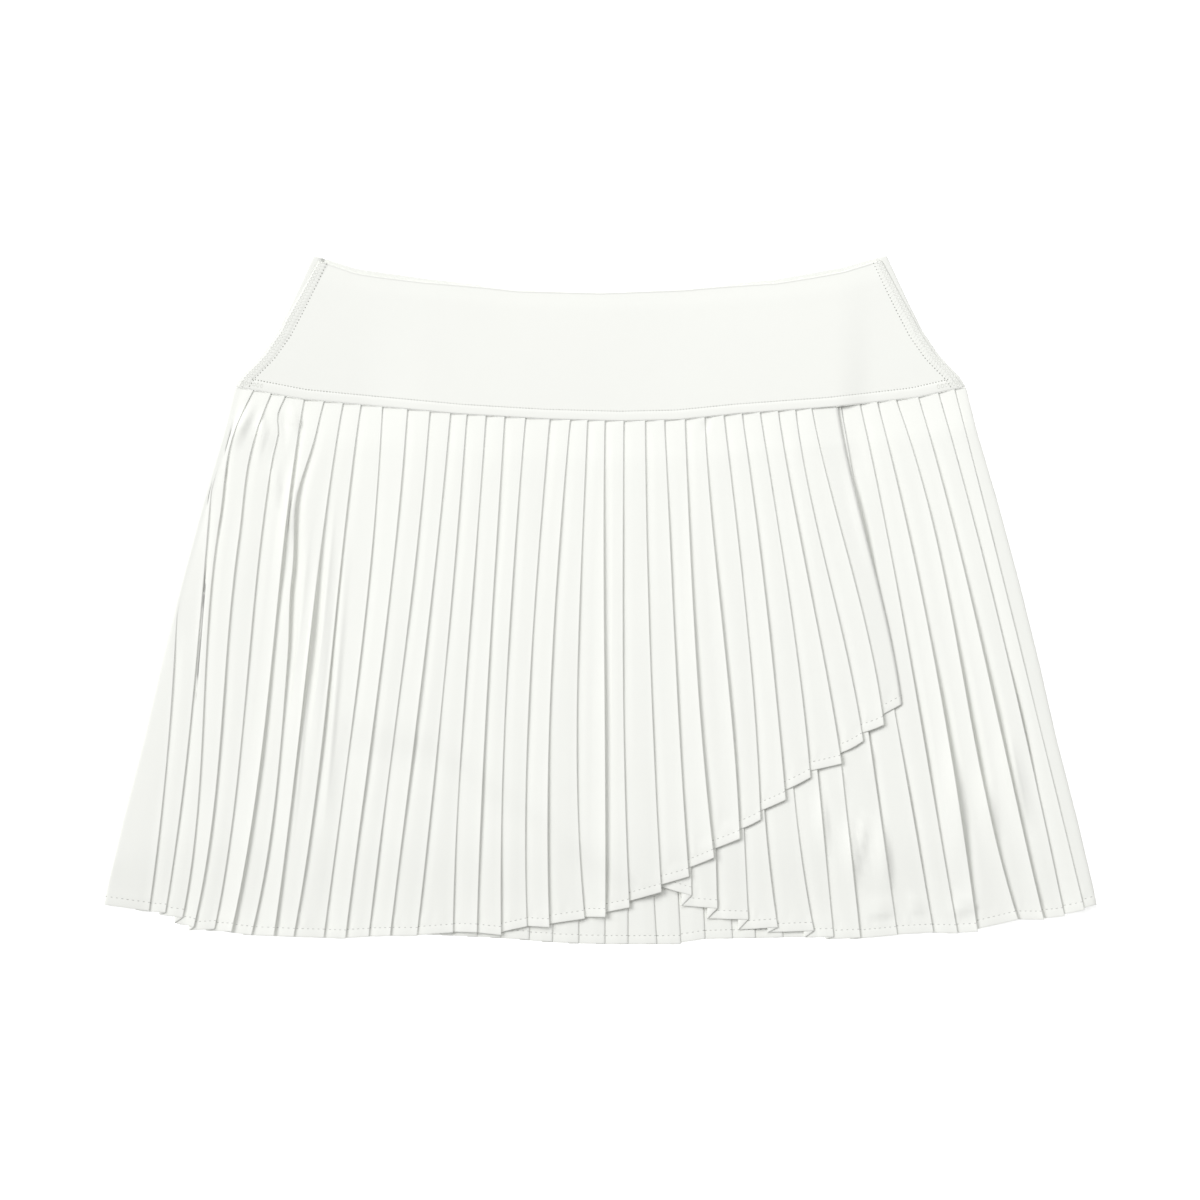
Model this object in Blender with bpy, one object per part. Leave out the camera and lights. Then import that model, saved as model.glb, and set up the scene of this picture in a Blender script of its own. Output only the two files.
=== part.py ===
"""A short pleated skirt with a fitted yoke and a wrap front, laid flat with its front up.

The waist points to +Y and the hem to -Y. The origin is on the table under the middle of the skirt.
Every cloth piece is a wall of real thickness, lofted down the skirt from its cross-sections.
The tables below are in millimetres, and the meshes are made in metres.
"""
from collections import namedtuple

import bmesh
import bpy
import numpy as np

MM = 0.001
THIRD = 1.0 / 3.0

# The cloth and how its layers stack, in millimetres
PLEAT_WALL = 1.0
YOKE_WALL = 1.2
LAYER_GAP = 0.3         # between one panel and the next
FOLD_GAP = 0.3          # between the layers of one pleat
SEAM_GAP = 0.3          # between two pieces that are sewn edge to edge
SIDE_ROUND = 1.2        # how far the rolled side edges reach in before they lie flat
SIDE_KNEE = 0.35        # share of their height at which they turn upright
SIDE_CLEAR = 0.1        # the back's rolled edge clears the table by this much
RIDGE = 0.4             # how much the seam allowance lifts the yoke along its seams
RIDGE_WIDTH = 5.0
RIDGE_SLOPE = 0.8

# One knife pleat
RISE_AT_SEAM = 0.8      # step from one pleat to the next where they are sewn flat
RISE_FULL = 2 * (PLEAT_WALL + FOLD_GAP)
RISE_LENGTH = 22.0      # the step grows to its full height over this length below the seam
DEPTH_AT_HEM = 6.0      # cloth hidden behind each fold
DEPTH_GROWTH = 0.8      # power with which that depth grows down the skirt
MOST_DEPTH = 0.5        # of the pleat's own width
SHORE = 1.0             # flat margin on each side of a step
RETURN_HIGH = 0.53      # share of the step at which the cloth behind a fold starts to turn back
SLACK_HIGH = 0.67       # the same where the step only slopes
MARGIN_SHARE = 0.22     # most of a pleat's width that such a margin takes
SLACK_SLOPE = 1.2       # length over which an unfolded step slopes down
LEAST_RISE = 0.25       # step that is left of a pleat where it runs out at the side edge
SIDE_FADE = 7.0         # the step grows to its full height over this distance from the side edge
CROWDED = 2.6           # least distance between creases where they run out at the side edge
FULL_ROOM = 4.5         # more than that, and the step has its full height
FIRM = 0.9              # share of its full height from which a fold turns back
SETTLE = 65.0           # and it does so from this far below that place
LIFT_PEAK = 0.75        # an open pleat stands highest at this share of the length

# Cross-sections of the front and the back, as shares of the length below the growing step
FRONT_STATIONS = (0.0, 0.2, 0.4, 0.6, 0.8, 1.0)
BACK_STATIONS = (0.0, 0.3, 0.65, 1.0)

# The outline of the skirt, which is even about its middle: half widths from the waist to the hem
Side = namedtuple("Side", "y half_width")
SIDES = (
    Side(200.0, 166.5), Side(188.0, 172.0), Side(172.0, 179.5), Side(156.0, 187.5),
    Side(142.0, 197.0), Side(130.0, 208.5), Side(123.0, 213.0), Side(98.5, 219.0),
    Side(58.0, 231.0), Side(11.5, 243.5), Side(-35.0, 255.0), Side(-81.0, 265.5),
    Side(-127.5, 277.5), Side(-168.0, 287.0), Side(-177.0, 288.5),
)

# Curves across the skirt
Point = namedtuple("Point", "x y")
WAIST_EDGE = (
    Point(-166.5, 198.6), Point(-157.0, 196.0), Point(-141.0, 191.0), Point(-102.0, 185.5),
    Point(-48.0, 179.5), Point(0.0, 178.3), Point(48.0, 180.0), Point(102.0, 185.0),
    Point(141.0, 192.0), Point(157.0, 196.5), Point(166.5, 198.6),
)
WAIST_SEAM = (
    Point(-213.0, 124.0), Point(-172.5, 116.5), Point(-130.0, 112.5), Point(-82.5, 108.0),
    Point(-32.0, 105.0), Point(11.5, 103.8), Point(45.0, 104.5), Point(79.5, 108.0),
    Point(134.5, 112.0), Point(184.0, 117.5), Point(213.0, 124.0),
)
BACK_HEM = (
    Point(-288.5, -177.0), Point(-200.0, -191.0), Point(-100.0, -194.5), Point(-57.5, -196.5),
    Point(-27.0, -199.3), Point(3.0, -200.0), Point(46.0, -200.0), Point(54.0, -197.0),
    Point(110.0, -196.0), Point(200.0, -191.0), Point(288.5, -177.0),
)
FRONT_CORNER_Y = -177.0
BACK_EDGE_SHOWS = 1.4   # the back yoke stands this much above the front yoke at the sides
BACK_EDGE_FROM = 0.6    # and reaches that height this far out from the middle

# Knife pleats of the front. waist and hem are where the crease meets the seam and the hem,
# high and low how far it bows off a straight line a third and two thirds of the way down,
# turn how much the hem moves along the hidden part, and lift how far the pleat stands open.
Crease = namedtuple("Crease", "waist hem hem_y high low turn lift")
OVERLAP = (
    Crease(-243.5, -262.0, -180.5, 5.0, 5.5, 0.0, 0.0),
    Crease(-220.0, -252.5, -181.5, 1.5, 3.0, -1.0, 0.0),
    Crease(-200.5, -242.5, -184.5, -10.0, -2.5, -3.0, 0.0),
    Crease(-190.5, -236.0, -190.0, -6.5, 0.0, -2.0, 0.5),
    Crease(-183.0, -224.0, -191.0, -2.5, 1.5, -1.0, 0.0),
    Crease(-172.0, -214.0, -192.5, 0.5, 3.5, 0.0, 1.5),
    Crease(-160.5, -202.5, -194.5, -3.0, 2.5, 0.0, 0.5),
    Crease(-149.5, -189.5, -195.0, -1.5, 0.0, 0.0, 1.2),
    Crease(-139.0, -178.0, -195.5, 0.5, 2.5, 0.0, 0.5),
    Crease(-126.5, -160.5, -196.0, 3.5, 2.5, 0.0, 0.0),
    Crease(-112.0, -148.0, -196.5, 2.5, 1.5, 0.0, 0.5),
    Crease(-99.0, -134.5, -195.5, 2.0, 1.0, 0.0, 0.0),
    Crease(-87.0, -122.0, -195.0, 1.5, 1.0, 0.0, 0.5),
    Crease(-77.5, -106.5, -195.0, 1.5, 1.5, 0.0, 0.0),
    Crease(-66.5, -85.5, -193.0, -1.0, -2.0, 0.5, 0.0),
    Crease(-55.5, -71.5, -193.0, -1.0, -1.5, 0.5, 0.5),
    Crease(-43.5, -57.5, -194.5, -3.0, -3.5, 0.5, 0.0),
    Crease(-29.5, -42.5, -189.5, -3.5, -4.5, 0.5, 0.0),
    Crease(-17.5, -29.5, -190.0, -4.0, -4.5, 1.0, 0.5),
    Crease(-7.5, -9.0, -185.0, -3.5, -5.0, 1.0, 0.0),
    Crease(2.5, 3.0, -184.0, -0.5, 0.0, 1.5, 1.5),
    Crease(13.5, 17.0, -178.5, -1.5, -2.0, 2.0, 0.0),
    Crease(26.0, 35.5, -169.5, -1.5, -1.5, 2.5, 0.0),
    Crease(37.0, 51.5, -160.5, -0.5, -1.0, 2.5, 0.5),
    Crease(49.0, 66.0, -149.5, -2.0, -2.5, 2.5, 1.2),
    Crease(60.5, 81.0, -138.5, -0.5, 1.0, 2.5, 1.0),
    Crease(71.5, 93.0, -127.5, 2.0, 2.5, 2.5, 0.0),
    Crease(82.0, 107.5, -116.0, 1.5, 1.5, 2.5, 0.5),
    Crease(92.5, 122.0, -103.0, 1.5, 2.0, 2.5, 0.0),
    Crease(103.0, 140.0, -95.0, -0.5, 0.5, 2.5, 0.5),
    Crease(113.0, 152.5, -82.0, -1.5, 0.5, 2.5, 0.0),
    Crease(122.5, 164.5, -72.5, 0.5, 2.5, 2.5, 0.5),
    Crease(138.0, 175.0, -60.5, -0.5, 1.5, 0.0, 0.0),
)
UNDERLAP = (
    Crease(48.0, 53.0, -171.5, 0.0, 0.0, -6.0, 0.0),
    Crease(59.5, 68.0, -179.0, 0.0, 0.0, -6.0, 0.0),
    Crease(71.0, 86.0, -185.5, 0.0, 0.0, -6.0, 0.0),
    Crease(82.5, 103.0, -190.0, 0.0, -3.0, -3.0, 0.0),
    Crease(94.0, 124.0, -192.0, 0.0, -3.5, -4.0, 0.0),
    Crease(105.5, 135.5, -195.5, 0.0, 0.0, -1.5, 0.0),
    Crease(117.0, 151.0, -196.0, 0.0, 0.0, -1.0, 0.0),
    Crease(128.5, 172.5, -194.5, 0.0, 0.0, 0.0, 0.0),
    Crease(139.5, 193.5, -193.0, 0.0, 0.0, 0.0, 0.0),
    Crease(150.5, 207.5, -193.5, 2.0, 1.0, 0.0, 0.0),
    Crease(160.5, 219.0, -192.5, 4.5, 4.0, 0.0, 1.2),
    Crease(171.5, 242.5, -185.5, 4.0, -1.0, 0.0, 1.2),
    Crease(184.5, 257.5, -185.5, 2.5, 1.0, 0.0, 1.5),
    Crease(196.0, 269.5, -183.5, 3.0, 2.5, 0.0, 0.0),
    Crease(205.5, 281.0, -180.0, 0.5, 0.5, 0.0, 0.0),
)

# The part of the underlap that the overlap hides ends in a free edge
HIDDEN_PLEATS = 10
FREE_EDGE = Crease(-69.5, -97.5, -63.0, 0.0, 0.0, 0.0, 0.0)
HIDDEN_TURN = -5.0

# Where the overlap comes down off the underlap
SINK_START = 30.0
SINK_LENGTH = 42.0
SINK_DOWN = 0.8         # it comes down this much slower towards the hem than sideways
FREE_EDGE_SINK = 20.0   # length of waist seam over which the yoke comes down off the overlap
YOKE_COVERS = 0.3       # the yoke stands this much above the pleats at their seam

# The back panel
BACK_PLEATS = 39
BACK_TURN = 0.3         # its turned-back layers end this much above its hem
BACK_SHIFT = -0.0135    # its pleats stand this share of the half width to one side
BACK_SWAY = 1.2         # unevenness of its pleats
SWAY_STEP = 2.4         # turn of that unevenness from one pleat to the next, in radians

# The yoke's grid
YOKE_COLUMNS = 36
YOKE_ROWS = 4
YOKE_INSET = 4.2        # from the outline to the front yoke's side edge
YOKE_INSET_LOW = 7.0    # the same at the waist seam
YOKE_WIDENS = 0.75      # share of the yoke's height from which that distance grows
YOKE_KNEE = 0.17        # share of its height at which the back yoke's side turns upright
YOKE_TOP_CORNER = 200.0
YOKE_SEAM_CORNER = 124.0

YOKE_WHITE = (0.925, 0.935, 0.895, 1.0)
PLEAT_WHITE = (0.915, 0.925, 0.89, 1.0)
YOKE_ROUGHNESS = 0.55
PLEAT_ROUGHNESS = 0.62


def mix(start, end, share):
    """Value that lies the given share of the way from start to end."""
    return start + (end - start) * share


def ease(share):
    """Smooth step from 0 to 1."""
    share = min(max(share, 0.0), 1.0)
    return share * share * (3.0 - 2.0 * share)


def curve_y(points, x):
    """Height of a curve across the skirt at one place."""
    return float(np.interp(x, [point.x for point in points], [point.y for point in points]))


def half_width(y):
    """Half of the skirt's width at one height."""
    heights = [-side.y for side in SIDES]
    return float(np.interp(-y, heights, [side.half_width for side in SIDES]))


def crease_x(crease, y):
    """Where a crease runs at one height."""
    top = curve_y(WAIST_SEAM, crease.waist)
    share = (top - y) / (top - crease.hem_y)
    bend = min(max(share, 0.0), 1.0)
    bow = crease.high * (2.0 * THIRD - bend) + crease.low * (bend - THIRD)
    bow *= bend * (1.0 - bend) / (THIRD * THIRD * (1.0 - THIRD))
    return mix(crease.waist, crease.hem, share) + bow


def rise_at(below_seam):
    """Height of a pleat's step at a distance below the waist seam."""
    return mix(RISE_AT_SEAM, RISE_FULL, min(below_seam / RISE_LENGTH, 1.0))


def hidden_creases():
    """Creases of the underlap that lie under the overlap, from its free edge on."""
    first = UNDERLAP[0]
    creases = [FREE_EDGE]
    for count in range(1, HIDDEN_PLEATS):
        share = count / HIDDEN_PLEATS
        waist = mix(FREE_EDGE.waist, first.waist, share)
        hem = mix(FREE_EDGE.hem, first.hem, share)
        hem_y = mix(FREE_EDGE.hem_y, first.hem_y, share)
        creases.append(Crease(waist, hem, hem_y, 0.0, 0.0, HIDDEN_TURN, 0.0))
    return creases


def back_creases():
    """Creases of the back, spread over its width, listed from its left as seen from behind."""
    creases = []
    for count in range(1, BACK_PLEATS):
        sway = BACK_SWAY * np.sin(SWAY_STEP * count)
        across = 2.0 * count / BACK_PLEATS - 1.0 + BACK_SHIFT
        waist = across * half_width(WAIST_SEAM[0].y) + 0.5 * sway
        hem = across * half_width(BACK_HEM[0].y) + sway
        hem_y = curve_y(BACK_HEM, -hem)
        creases.append(Crease(waist, hem, hem_y, sway, -0.5 * sway, BACK_TURN, 0.0))
    return creases


def underlap_hem_y(x):
    """Height of the underlap's slanting hem under the overlap."""
    tips = [FREE_EDGE] + list(UNDERLAP[:4])
    return float(np.interp(x, [tip.hem for tip in tips], [tip.hem_y for tip in tips]))


def cover(x, y):
    """1 where the overlap lies on the underlap, easing to 0 where it lies on the back."""
    sideways = max(crease_x(FREE_EDGE, y) - x, 0.0)
    down = max(SINK_DOWN * (underlap_hem_y(x) - y), 0.0)
    return 1.0 - ease((np.hypot(sideways, down) - SINK_START) / SINK_LENGTH)


def panel_floor(panel, x, y, below_seam):
    """Height of the lowest layer of a panel, at the middle of its wall."""
    layers_below = 0.0
    if panel != "back":
        layers_below = 1.0
    if panel == "overlap":
        layers_below += cover(x, y)
    return 0.5 * PLEAT_WALL + layers_below * (PLEAT_WALL + LAYER_GAP + rise_at(below_seam))


class Pleating:
    """One pleated panel: its creases, its side and free edges and its hem."""

    def __init__(self, panel, creases, starts_at_side, ends_at_side, stations):
        self.panel = panel
        self.creases = creases
        self.starts_at_side = starts_at_side
        self.ends_at_side = ends_at_side
        self.stations = stations
        self.columns = self.list_columns()

    def list_columns(self):
        """Columns of points from left to right: kind of point and number of its crease."""
        first = 0 if self.starts_at_side else 1
        last = len(self.creases) - (0 if self.ends_at_side else 1)
        columns = [("free", 0)]
        if self.starts_at_side:
            columns = [("side_end", -1), ("side_turn", -1), ("side_flat", -1)]
        for number in range(first, last):
            if number > first:
                columns += [("inner", number), ("shore", number)]
            columns += [("step", number), ("fold", number), ("under", number), ("back", number)]
        columns += [("inner", last), ("shore", last)]
        if self.ends_at_side:
            return columns + [("side_flat", last), ("side_turn", last), ("side_end", last)]
        return columns + [("free", last)]

    def side_x(self, y):
        """Half width between the middles of the rolled side edges."""
        return half_width(y) - 0.5 * PLEAT_WALL

    def line_x(self, number, y):
        """Place of one crease, kept in order beside the side edges."""
        if number < 0:
            return SIDE_ROUND - self.side_x(y)
        if number == len(self.creases):
            return self.side_x(y) - SIDE_ROUND
        x = crease_x(self.creases[number], y)
        reach = self.side_x(y) - SIDE_ROUND
        if self.starts_at_side:
            x = max(x, CROWDED * (number + 1) - reach)
        if self.ends_at_side:
            x = min(x, reach - CROWDED * (len(self.creases) - number))
        return x

    def world_x(self, x):
        """The back is drawn as seen from behind, so left and right change places."""
        return -x if self.panel == "back" else x

    def corner_y(self):
        """Hem height at the sides."""
        return BACK_HEM[0].y if self.panel == "back" else FRONT_CORNER_Y

    def seam_y(self, kind, number):
        """Top of a column, just under the yoke."""
        y = WAIST_SEAM[0].y
        for _ in range(2):
            x = self.world_x(self.section_point(kind, number, y, 0.0, 0.0)[0])
            y = curve_y(WAIST_SEAM, x) - 0.5 * SEAM_GAP
        return y

    def hem_y(self, kind, number):
        """Foot of a column. Between an inner fold and the next fold the hem runs straight."""
        if kind.startswith("side"):
            return self.corner_y()
        if kind in ("free", "fold", "under"):
            return self.creases[number].hem_y
        if kind == "back":
            return self.creases[number].hem_y + self.creases[number].turn
        start_x, start_y = -half_width(self.corner_y()), self.corner_y()
        end_x, end_y = -start_x, self.corner_y()
        if number > 0:
            before = self.creases[number - 1]
            start_x, start_y = before.hem - DEPTH_AT_HEM, before.hem_y + before.turn
        if number < len(self.creases):
            end_x, end_y = self.creases[number].hem, self.creases[number].hem_y
        places = {"inner": start_x, "shore": start_x + DEPTH_AT_HEM + SHORE,
                  "step": end_x - DEPTH_AT_HEM - SHORE}
        return float(np.interp(places[kind], [start_x, end_x], [start_y, end_y]))

    def from_side(self, number, y):
        """Distance of a crease from the nearer side edge."""
        return self.side_x(y) - abs(self.line_x(number, y))

    def width(self, number, y):
        """Distance from the crease before."""
        return self.line_x(number, y) - self.line_x(number - 1, y)

    def firmness(self, number, y):
        """0 where a pleat runs out at the side edge, 1 where it is fully folded."""
        inside = ease((self.from_side(number, y) - SIDE_ROUND) / SIDE_FADE)
        return min(inside, ease((self.width(number, y) - CROWDED) / FULL_ROOM))

    def depth(self, number, y, share):
        """How far the cloth turns back behind a fold."""
        room = MOST_DEPTH * max(self.width(number, y) - 2.0 * SHORE, 0.0)
        firm_above = self.firmness(number, y + SETTLE)
        settled = ease((firm_above - FIRM) / (1.0 - FIRM))
        return min(DEPTH_AT_HEM * share ** DEPTH_GROWTH, room) * settled

    def slack(self, number, y, below_seam):
        """1 where a step slopes down gently, 0 where its fold is sharp."""
        return max(1.0 - below_seam / RISE_LENGTH, 1.0 - self.firmness(number, y), 0.0)

    def section_point(self, kind, number, y, below_seam, share):
        """Place across the skirt and height above the panel's floor."""
        rise = rise_at(below_seam)
        if kind.startswith("side"):
            return self.side_point(kind, number, y, rise)
        if kind == "free":
            return self.line_x(number, y), 0.0
        left = self.line_x(number - 1, y)
        right = self.line_x(number, y)
        margin = min(SHORE, MARGIN_SHARE * (right - left))
        if kind in ("inner", "shore"):
            slope = SLACK_SLOPE * self.slack(number - 1, y, below_seam)
            if kind == "inner":
                return left + slope - self.depth(number - 1, y, share), 0.0
            return left + slope + margin, 0.0
        slack = self.slack(number, y, below_seam)
        slope = SLACK_SLOPE * slack
        depth = self.depth(number, y, share)
        rise = mix(LEAST_RISE, rise, self.firmness(number, y))
        lift = self.creases[number].lift * np.sin(0.5 * np.pi * min(share / LIFT_PEAK, 1.0))
        high = mix(RETURN_HIGH, SLACK_HIGH, slack)
        if kind == "step":
            return right - depth - margin, rise
        if kind == "fold":
            return right, rise + lift
        if kind == "under":
            return right + (1.0 - high) * slope, high * rise + lift
        return right + high * slope - depth, (1.0 - high) * rise

    def side_point(self, kind, number, y, rise):
        """Points of the rolled side edge, which meets the other panel's half way up."""
        sign = -1.0 if number < 0 else 1.0
        x = self.side_x(y)
        outer = rise - SIDE_CLEAR if self.panel == "back" else 0.0
        drop = 0.5 * (PLEAT_WALL + LAYER_GAP + rise - SEAM_GAP)
        if kind == "side_flat":
            return sign * (x - SIDE_ROUND), outer
        if kind == "side_turn":
            return sign * x, outer - SIDE_KNEE * drop
        return sign * x, outer - drop

    def section(self, index):
        """One cross-section from left to right, as rows of x, y and z."""
        points = []
        for kind, number in self.columns:
            top = self.seam_y(kind, number)
            y, share = top, 0.0
            if index > 0:
                share = self.stations[index - 1]
                y = mix(top - RISE_LENGTH, self.hem_y(kind, number), share)
            x, height = self.section_point(kind, number, y, top - y, share)
            points.append(self.placed(x, y, height, top - y))
        if self.panel == "back":
            points.reverse()
        return np.array(points)

    def placed(self, x, y, height, below_seam):
        """Turn a height above the panel's floor into a point of the skirt."""
        x = self.world_x(x)
        floor = panel_floor(self.panel, x, y, below_seam)
        if self.panel == "back":
            return x, y, floor + rise_at(below_seam) - height
        return x, y, floor + height

    def sections(self):
        """All cross-sections from the seam to the hem."""
        return [self.section(index) for index in range(len(self.stations) + 1)]


def corner_offsets(section):
    """Mitred direction, across the skirt and up, in which a wall grows at each point."""
    run = np.diff(section[:, [0, 2]], axis=0)
    run /= np.linalg.norm(run, axis=1)[:, None]
    normal = np.stack([-run[:, 1], run[:, 0]], axis=1)
    before = np.vstack([normal[:1], normal])
    after = np.vstack([normal, normal[-1:]])
    lean = 1.0 + np.sum(before * after, axis=1)
    return (before + after) / lean[:, None]


def wall_faces(rows, columns, turned):
    """Triangles of a closed wall whose upper and lower grids are numbered row by row.

    The strips in turned run back under their neighbours, and are split the other way, so that
    both layers of a fold bend along the same diagonals.
    """
    lower = rows * columns
    faces = []

    def strip(first, second, third, fourth):
        faces.append((first, second, third))
        faces.append((first, third, fourth))

    for row in range(rows - 1):
        for column in range(columns - 1):
            here = row * columns + column
            ring = [here, here + columns, here + columns + 1, here + 1]
            if turned[column]:
                ring = ring[1:] + ring[:1]
            strip(*ring)
            strip(*[lower + corner for corner in (ring[0], ring[3], ring[2], ring[1])])
    for row in range(rows - 1):
        start = row * columns
        end = start + columns - 1
        strip(start, start + lower, start + columns + lower, start + columns)
        strip(end, end + columns, end + columns + lower, end + lower)
    last = (rows - 1) * columns
    for column in range(columns - 1):
        strip(column, column + 1, column + 1 + lower, column + lower)
        here = last + column
        strip(here, here + lower, here + 1 + lower, here + 1)
    return faces


def cloth_wall(name, sections, thickness, colour, roughness, collection):
    """Object with a wall of even thickness about its cross-sections."""
    upper = []
    lower = []
    for section in sections:
        offsets = 0.5 * thickness * corner_offsets(section)
        grow = np.stack([offsets[:, 0], np.zeros(len(offsets)), offsets[:, 1]], axis=1)
        upper.append(section + grow)
        lower.append(section - grow)
    points = np.vstack(upper + lower) * MM
    mesh = bpy.data.meshes.new(name)
    builder = bmesh.new()
    corners = [builder.verts.new(point) for point in points]
    turned = np.diff(sections[-1][:, 0]) < 0.0
    for face in wall_faces(len(sections), len(sections[0]), turned):
        builder.faces.new([corners[corner] for corner in face])
    bmesh.ops.recalc_face_normals(builder, faces=builder.faces)
    builder.to_mesh(mesh)
    builder.free()
    piece = bpy.data.objects.new(name, mesh)
    mesh.materials.append(cloth_material(name, colour, roughness))
    collection.objects.link(piece)
    return piece


def cloth_material(name, colour, roughness):
    """Plain cloth material of one piece."""
    material = bpy.data.materials.new(name + "_cloth")
    material.use_nodes = True
    shader = material.node_tree.nodes["Principled BSDF"]
    shader.inputs["Base Color"].default_value = colour
    shader.inputs["Roughness"].default_value = roughness
    shader.inputs["Metallic"].default_value = 0.0
    return material


def yoke_side(share, inset=0.0):
    """Half width and height of the yoke's side at a share of the way from waist to seam."""
    y = mix(YOKE_TOP_CORNER, YOKE_SEAM_CORNER, share)
    return half_width(y) - inset


def yoke_inset(share):
    """Distance from the outline to the front yoke's side edge."""
    return mix(YOKE_INSET, YOKE_INSET_LOW, ease((share - YOKE_WIDENS) / (1.0 - YOKE_WIDENS)))


def yoke_y(across, share, rise):
    """Height of a point of the yoke, rise being how much its waist edge is raised."""
    top = curve_y(WAIST_EDGE, across * yoke_side(0.0)) + rise
    seam = curve_y(WAIST_SEAM, across * yoke_side(1.0)) + 0.5 * SEAM_GAP
    return mix(top, seam, share)


def seam_height(x):
    """Height of the front yoke's wall where it meets the pleats."""
    layers = 1.0 + cover(x, curve_y(WAIST_SEAM, x))
    if x > OVERLAP[-1].waist:
        layers = 2.0 - ease((x - OVERLAP[-1].waist) / FREE_EDGE_SINK)
    stack = layers * (PLEAT_WALL + LAYER_GAP + RISE_AT_SEAM) + PLEAT_WALL + RISE_AT_SEAM
    return stack - 0.5 * YOKE_WALL + YOKE_COVERS


def front_height(x, share):
    """Height of the front yoke's wall between the waist edge and the seam."""
    waist = 1.5 * YOKE_WALL + LAYER_GAP
    return mix(waist, seam_height(x), share)


def yoke_shares():
    """Where the yoke's cross-sections lie between the waist edge and the seam."""
    length = YOKE_TOP_CORNER - YOKE_SEAM_CORNER
    ridge_top = 1.0 - RIDGE_WIDTH / length
    ridge_foot = ridge_top - RIDGE_SLOPE / length
    return [ridge_foot * row / YOKE_ROWS for row in range(YOKE_ROWS + 1)] + [ridge_top, 1.0]


def yoke_front_sections():
    """Cross-sections of the front yoke, with the ridges of its side and waist seams."""
    ridge_foot = yoke_shares()[-3]
    sections = []
    for share in yoke_shares():
        edge = yoke_side(share, yoke_inset(share))
        flat = edge - RIDGE_WIDTH - RIDGE_SLOPE
        middle = list(np.linspace(-flat, flat, YOKE_COLUMNS))
        places = [-edge, -edge + RIDGE_WIDTH] + middle + [edge - RIDGE_WIDTH, edge]
        points = []
        for x in places:
            y = yoke_y(x / yoke_side(share), share, 0.0)
            on_ridge = abs(x) > flat + 0.5 * RIDGE_SLOPE or share > ridge_foot
            points.append((x, y, front_height(x, share) + (RIDGE if on_ridge else 0.0)))
        sections.append(np.array(points))
    return sections


def yoke_back_sections():
    """Cross-sections of the back yoke, which rolls forward at both sides."""
    sections = []
    for share in yoke_shares():
        outer = yoke_side(share)
        turn = outer - 0.5 * YOKE_WALL
        flat = turn - SIDE_ROUND
        inner = outer - yoke_inset(share) + SEAM_GAP
        table = 0.5 * YOKE_WALL
        top = front_height(outer, share)
        knee = YOKE_KNEE * (top - table)
        wrap = [(-inner, top), (-flat, top), (-turn, top - knee), (-turn, table + knee)]
        base = [(x, table) for x in np.linspace(-flat, flat, YOKE_COLUMNS)]
        mirrored = [(-x, z) for x, z in reversed(wrap)]
        points = []
        for x, z in wrap + base + mirrored:
            across = x / outer
            rise = BACK_EDGE_SHOWS * ease(abs(across) / BACK_EDGE_FROM)
            points.append((x, yoke_y(across, share, rise), z))
        sections.append(np.array(points))
    return sections


def clear_scene():
    """Remove what the file opens with."""
    for item in list(bpy.data.objects):
        bpy.data.objects.remove(item, do_unlink=True)


def build_skirt():
    """Make the five pieces in their own collection."""
    clear_scene()
    collection = bpy.data.collections.new("pleated_skirt")
    bpy.context.scene.collection.children.link(collection)
    underlap = hidden_creases() + list(UNDERLAP)
    panels = (
        ("skirt_back", Pleating("back", back_creases(), True, True, BACK_STATIONS)),
        ("front_underlap", Pleating("underlap", underlap, False, True, FRONT_STATIONS)),
        ("front_overlap", Pleating("overlap", list(OVERLAP), True, False, FRONT_STATIONS)),
    )
    for name, panel in panels:
        cloth_wall(name, panel.sections(), PLEAT_WALL, PLEAT_WHITE, PLEAT_ROUGHNESS, collection)
    yokes = (("yoke_back", yoke_back_sections()), ("yoke_front", yoke_front_sections()))
    for name, sections in yokes:
        cloth_wall(name, sections, YOKE_WALL, YOKE_WHITE, YOKE_ROUGHNESS, collection)


build_skirt()
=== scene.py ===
"""Dresses the flat-lying pleated skirt: pressed cloth, knit yoke, turned hems and stitches.

Sizes are in millimetres until a mesh is made. The waist points to +Y, the front to +Z and the
table is at z = 0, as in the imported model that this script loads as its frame.
"""
from __future__ import annotations

import logging
from dataclasses import dataclass, field
from enum import Enum
from typing import NamedTuple

import bpy
import numpy as np
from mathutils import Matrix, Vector


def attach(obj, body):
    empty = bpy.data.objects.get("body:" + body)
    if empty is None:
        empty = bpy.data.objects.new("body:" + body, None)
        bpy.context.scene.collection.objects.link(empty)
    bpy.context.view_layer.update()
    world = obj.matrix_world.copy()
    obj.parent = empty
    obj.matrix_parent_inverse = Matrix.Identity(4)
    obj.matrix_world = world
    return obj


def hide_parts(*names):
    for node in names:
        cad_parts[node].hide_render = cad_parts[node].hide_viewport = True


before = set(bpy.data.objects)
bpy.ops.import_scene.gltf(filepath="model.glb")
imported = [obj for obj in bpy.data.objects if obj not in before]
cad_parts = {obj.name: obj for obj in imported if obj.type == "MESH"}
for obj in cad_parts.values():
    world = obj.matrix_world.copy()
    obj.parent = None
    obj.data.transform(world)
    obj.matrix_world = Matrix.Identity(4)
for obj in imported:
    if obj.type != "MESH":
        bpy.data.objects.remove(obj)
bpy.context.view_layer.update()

log = logging.getLogger("skirt")

MM = 0.001
THIRD = 1.0 / 3.0
Grid = np.ndarray
Value = np.ndarray | float
Column = tuple[str, int]
Colour = tuple[float, float, float, float]

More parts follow.
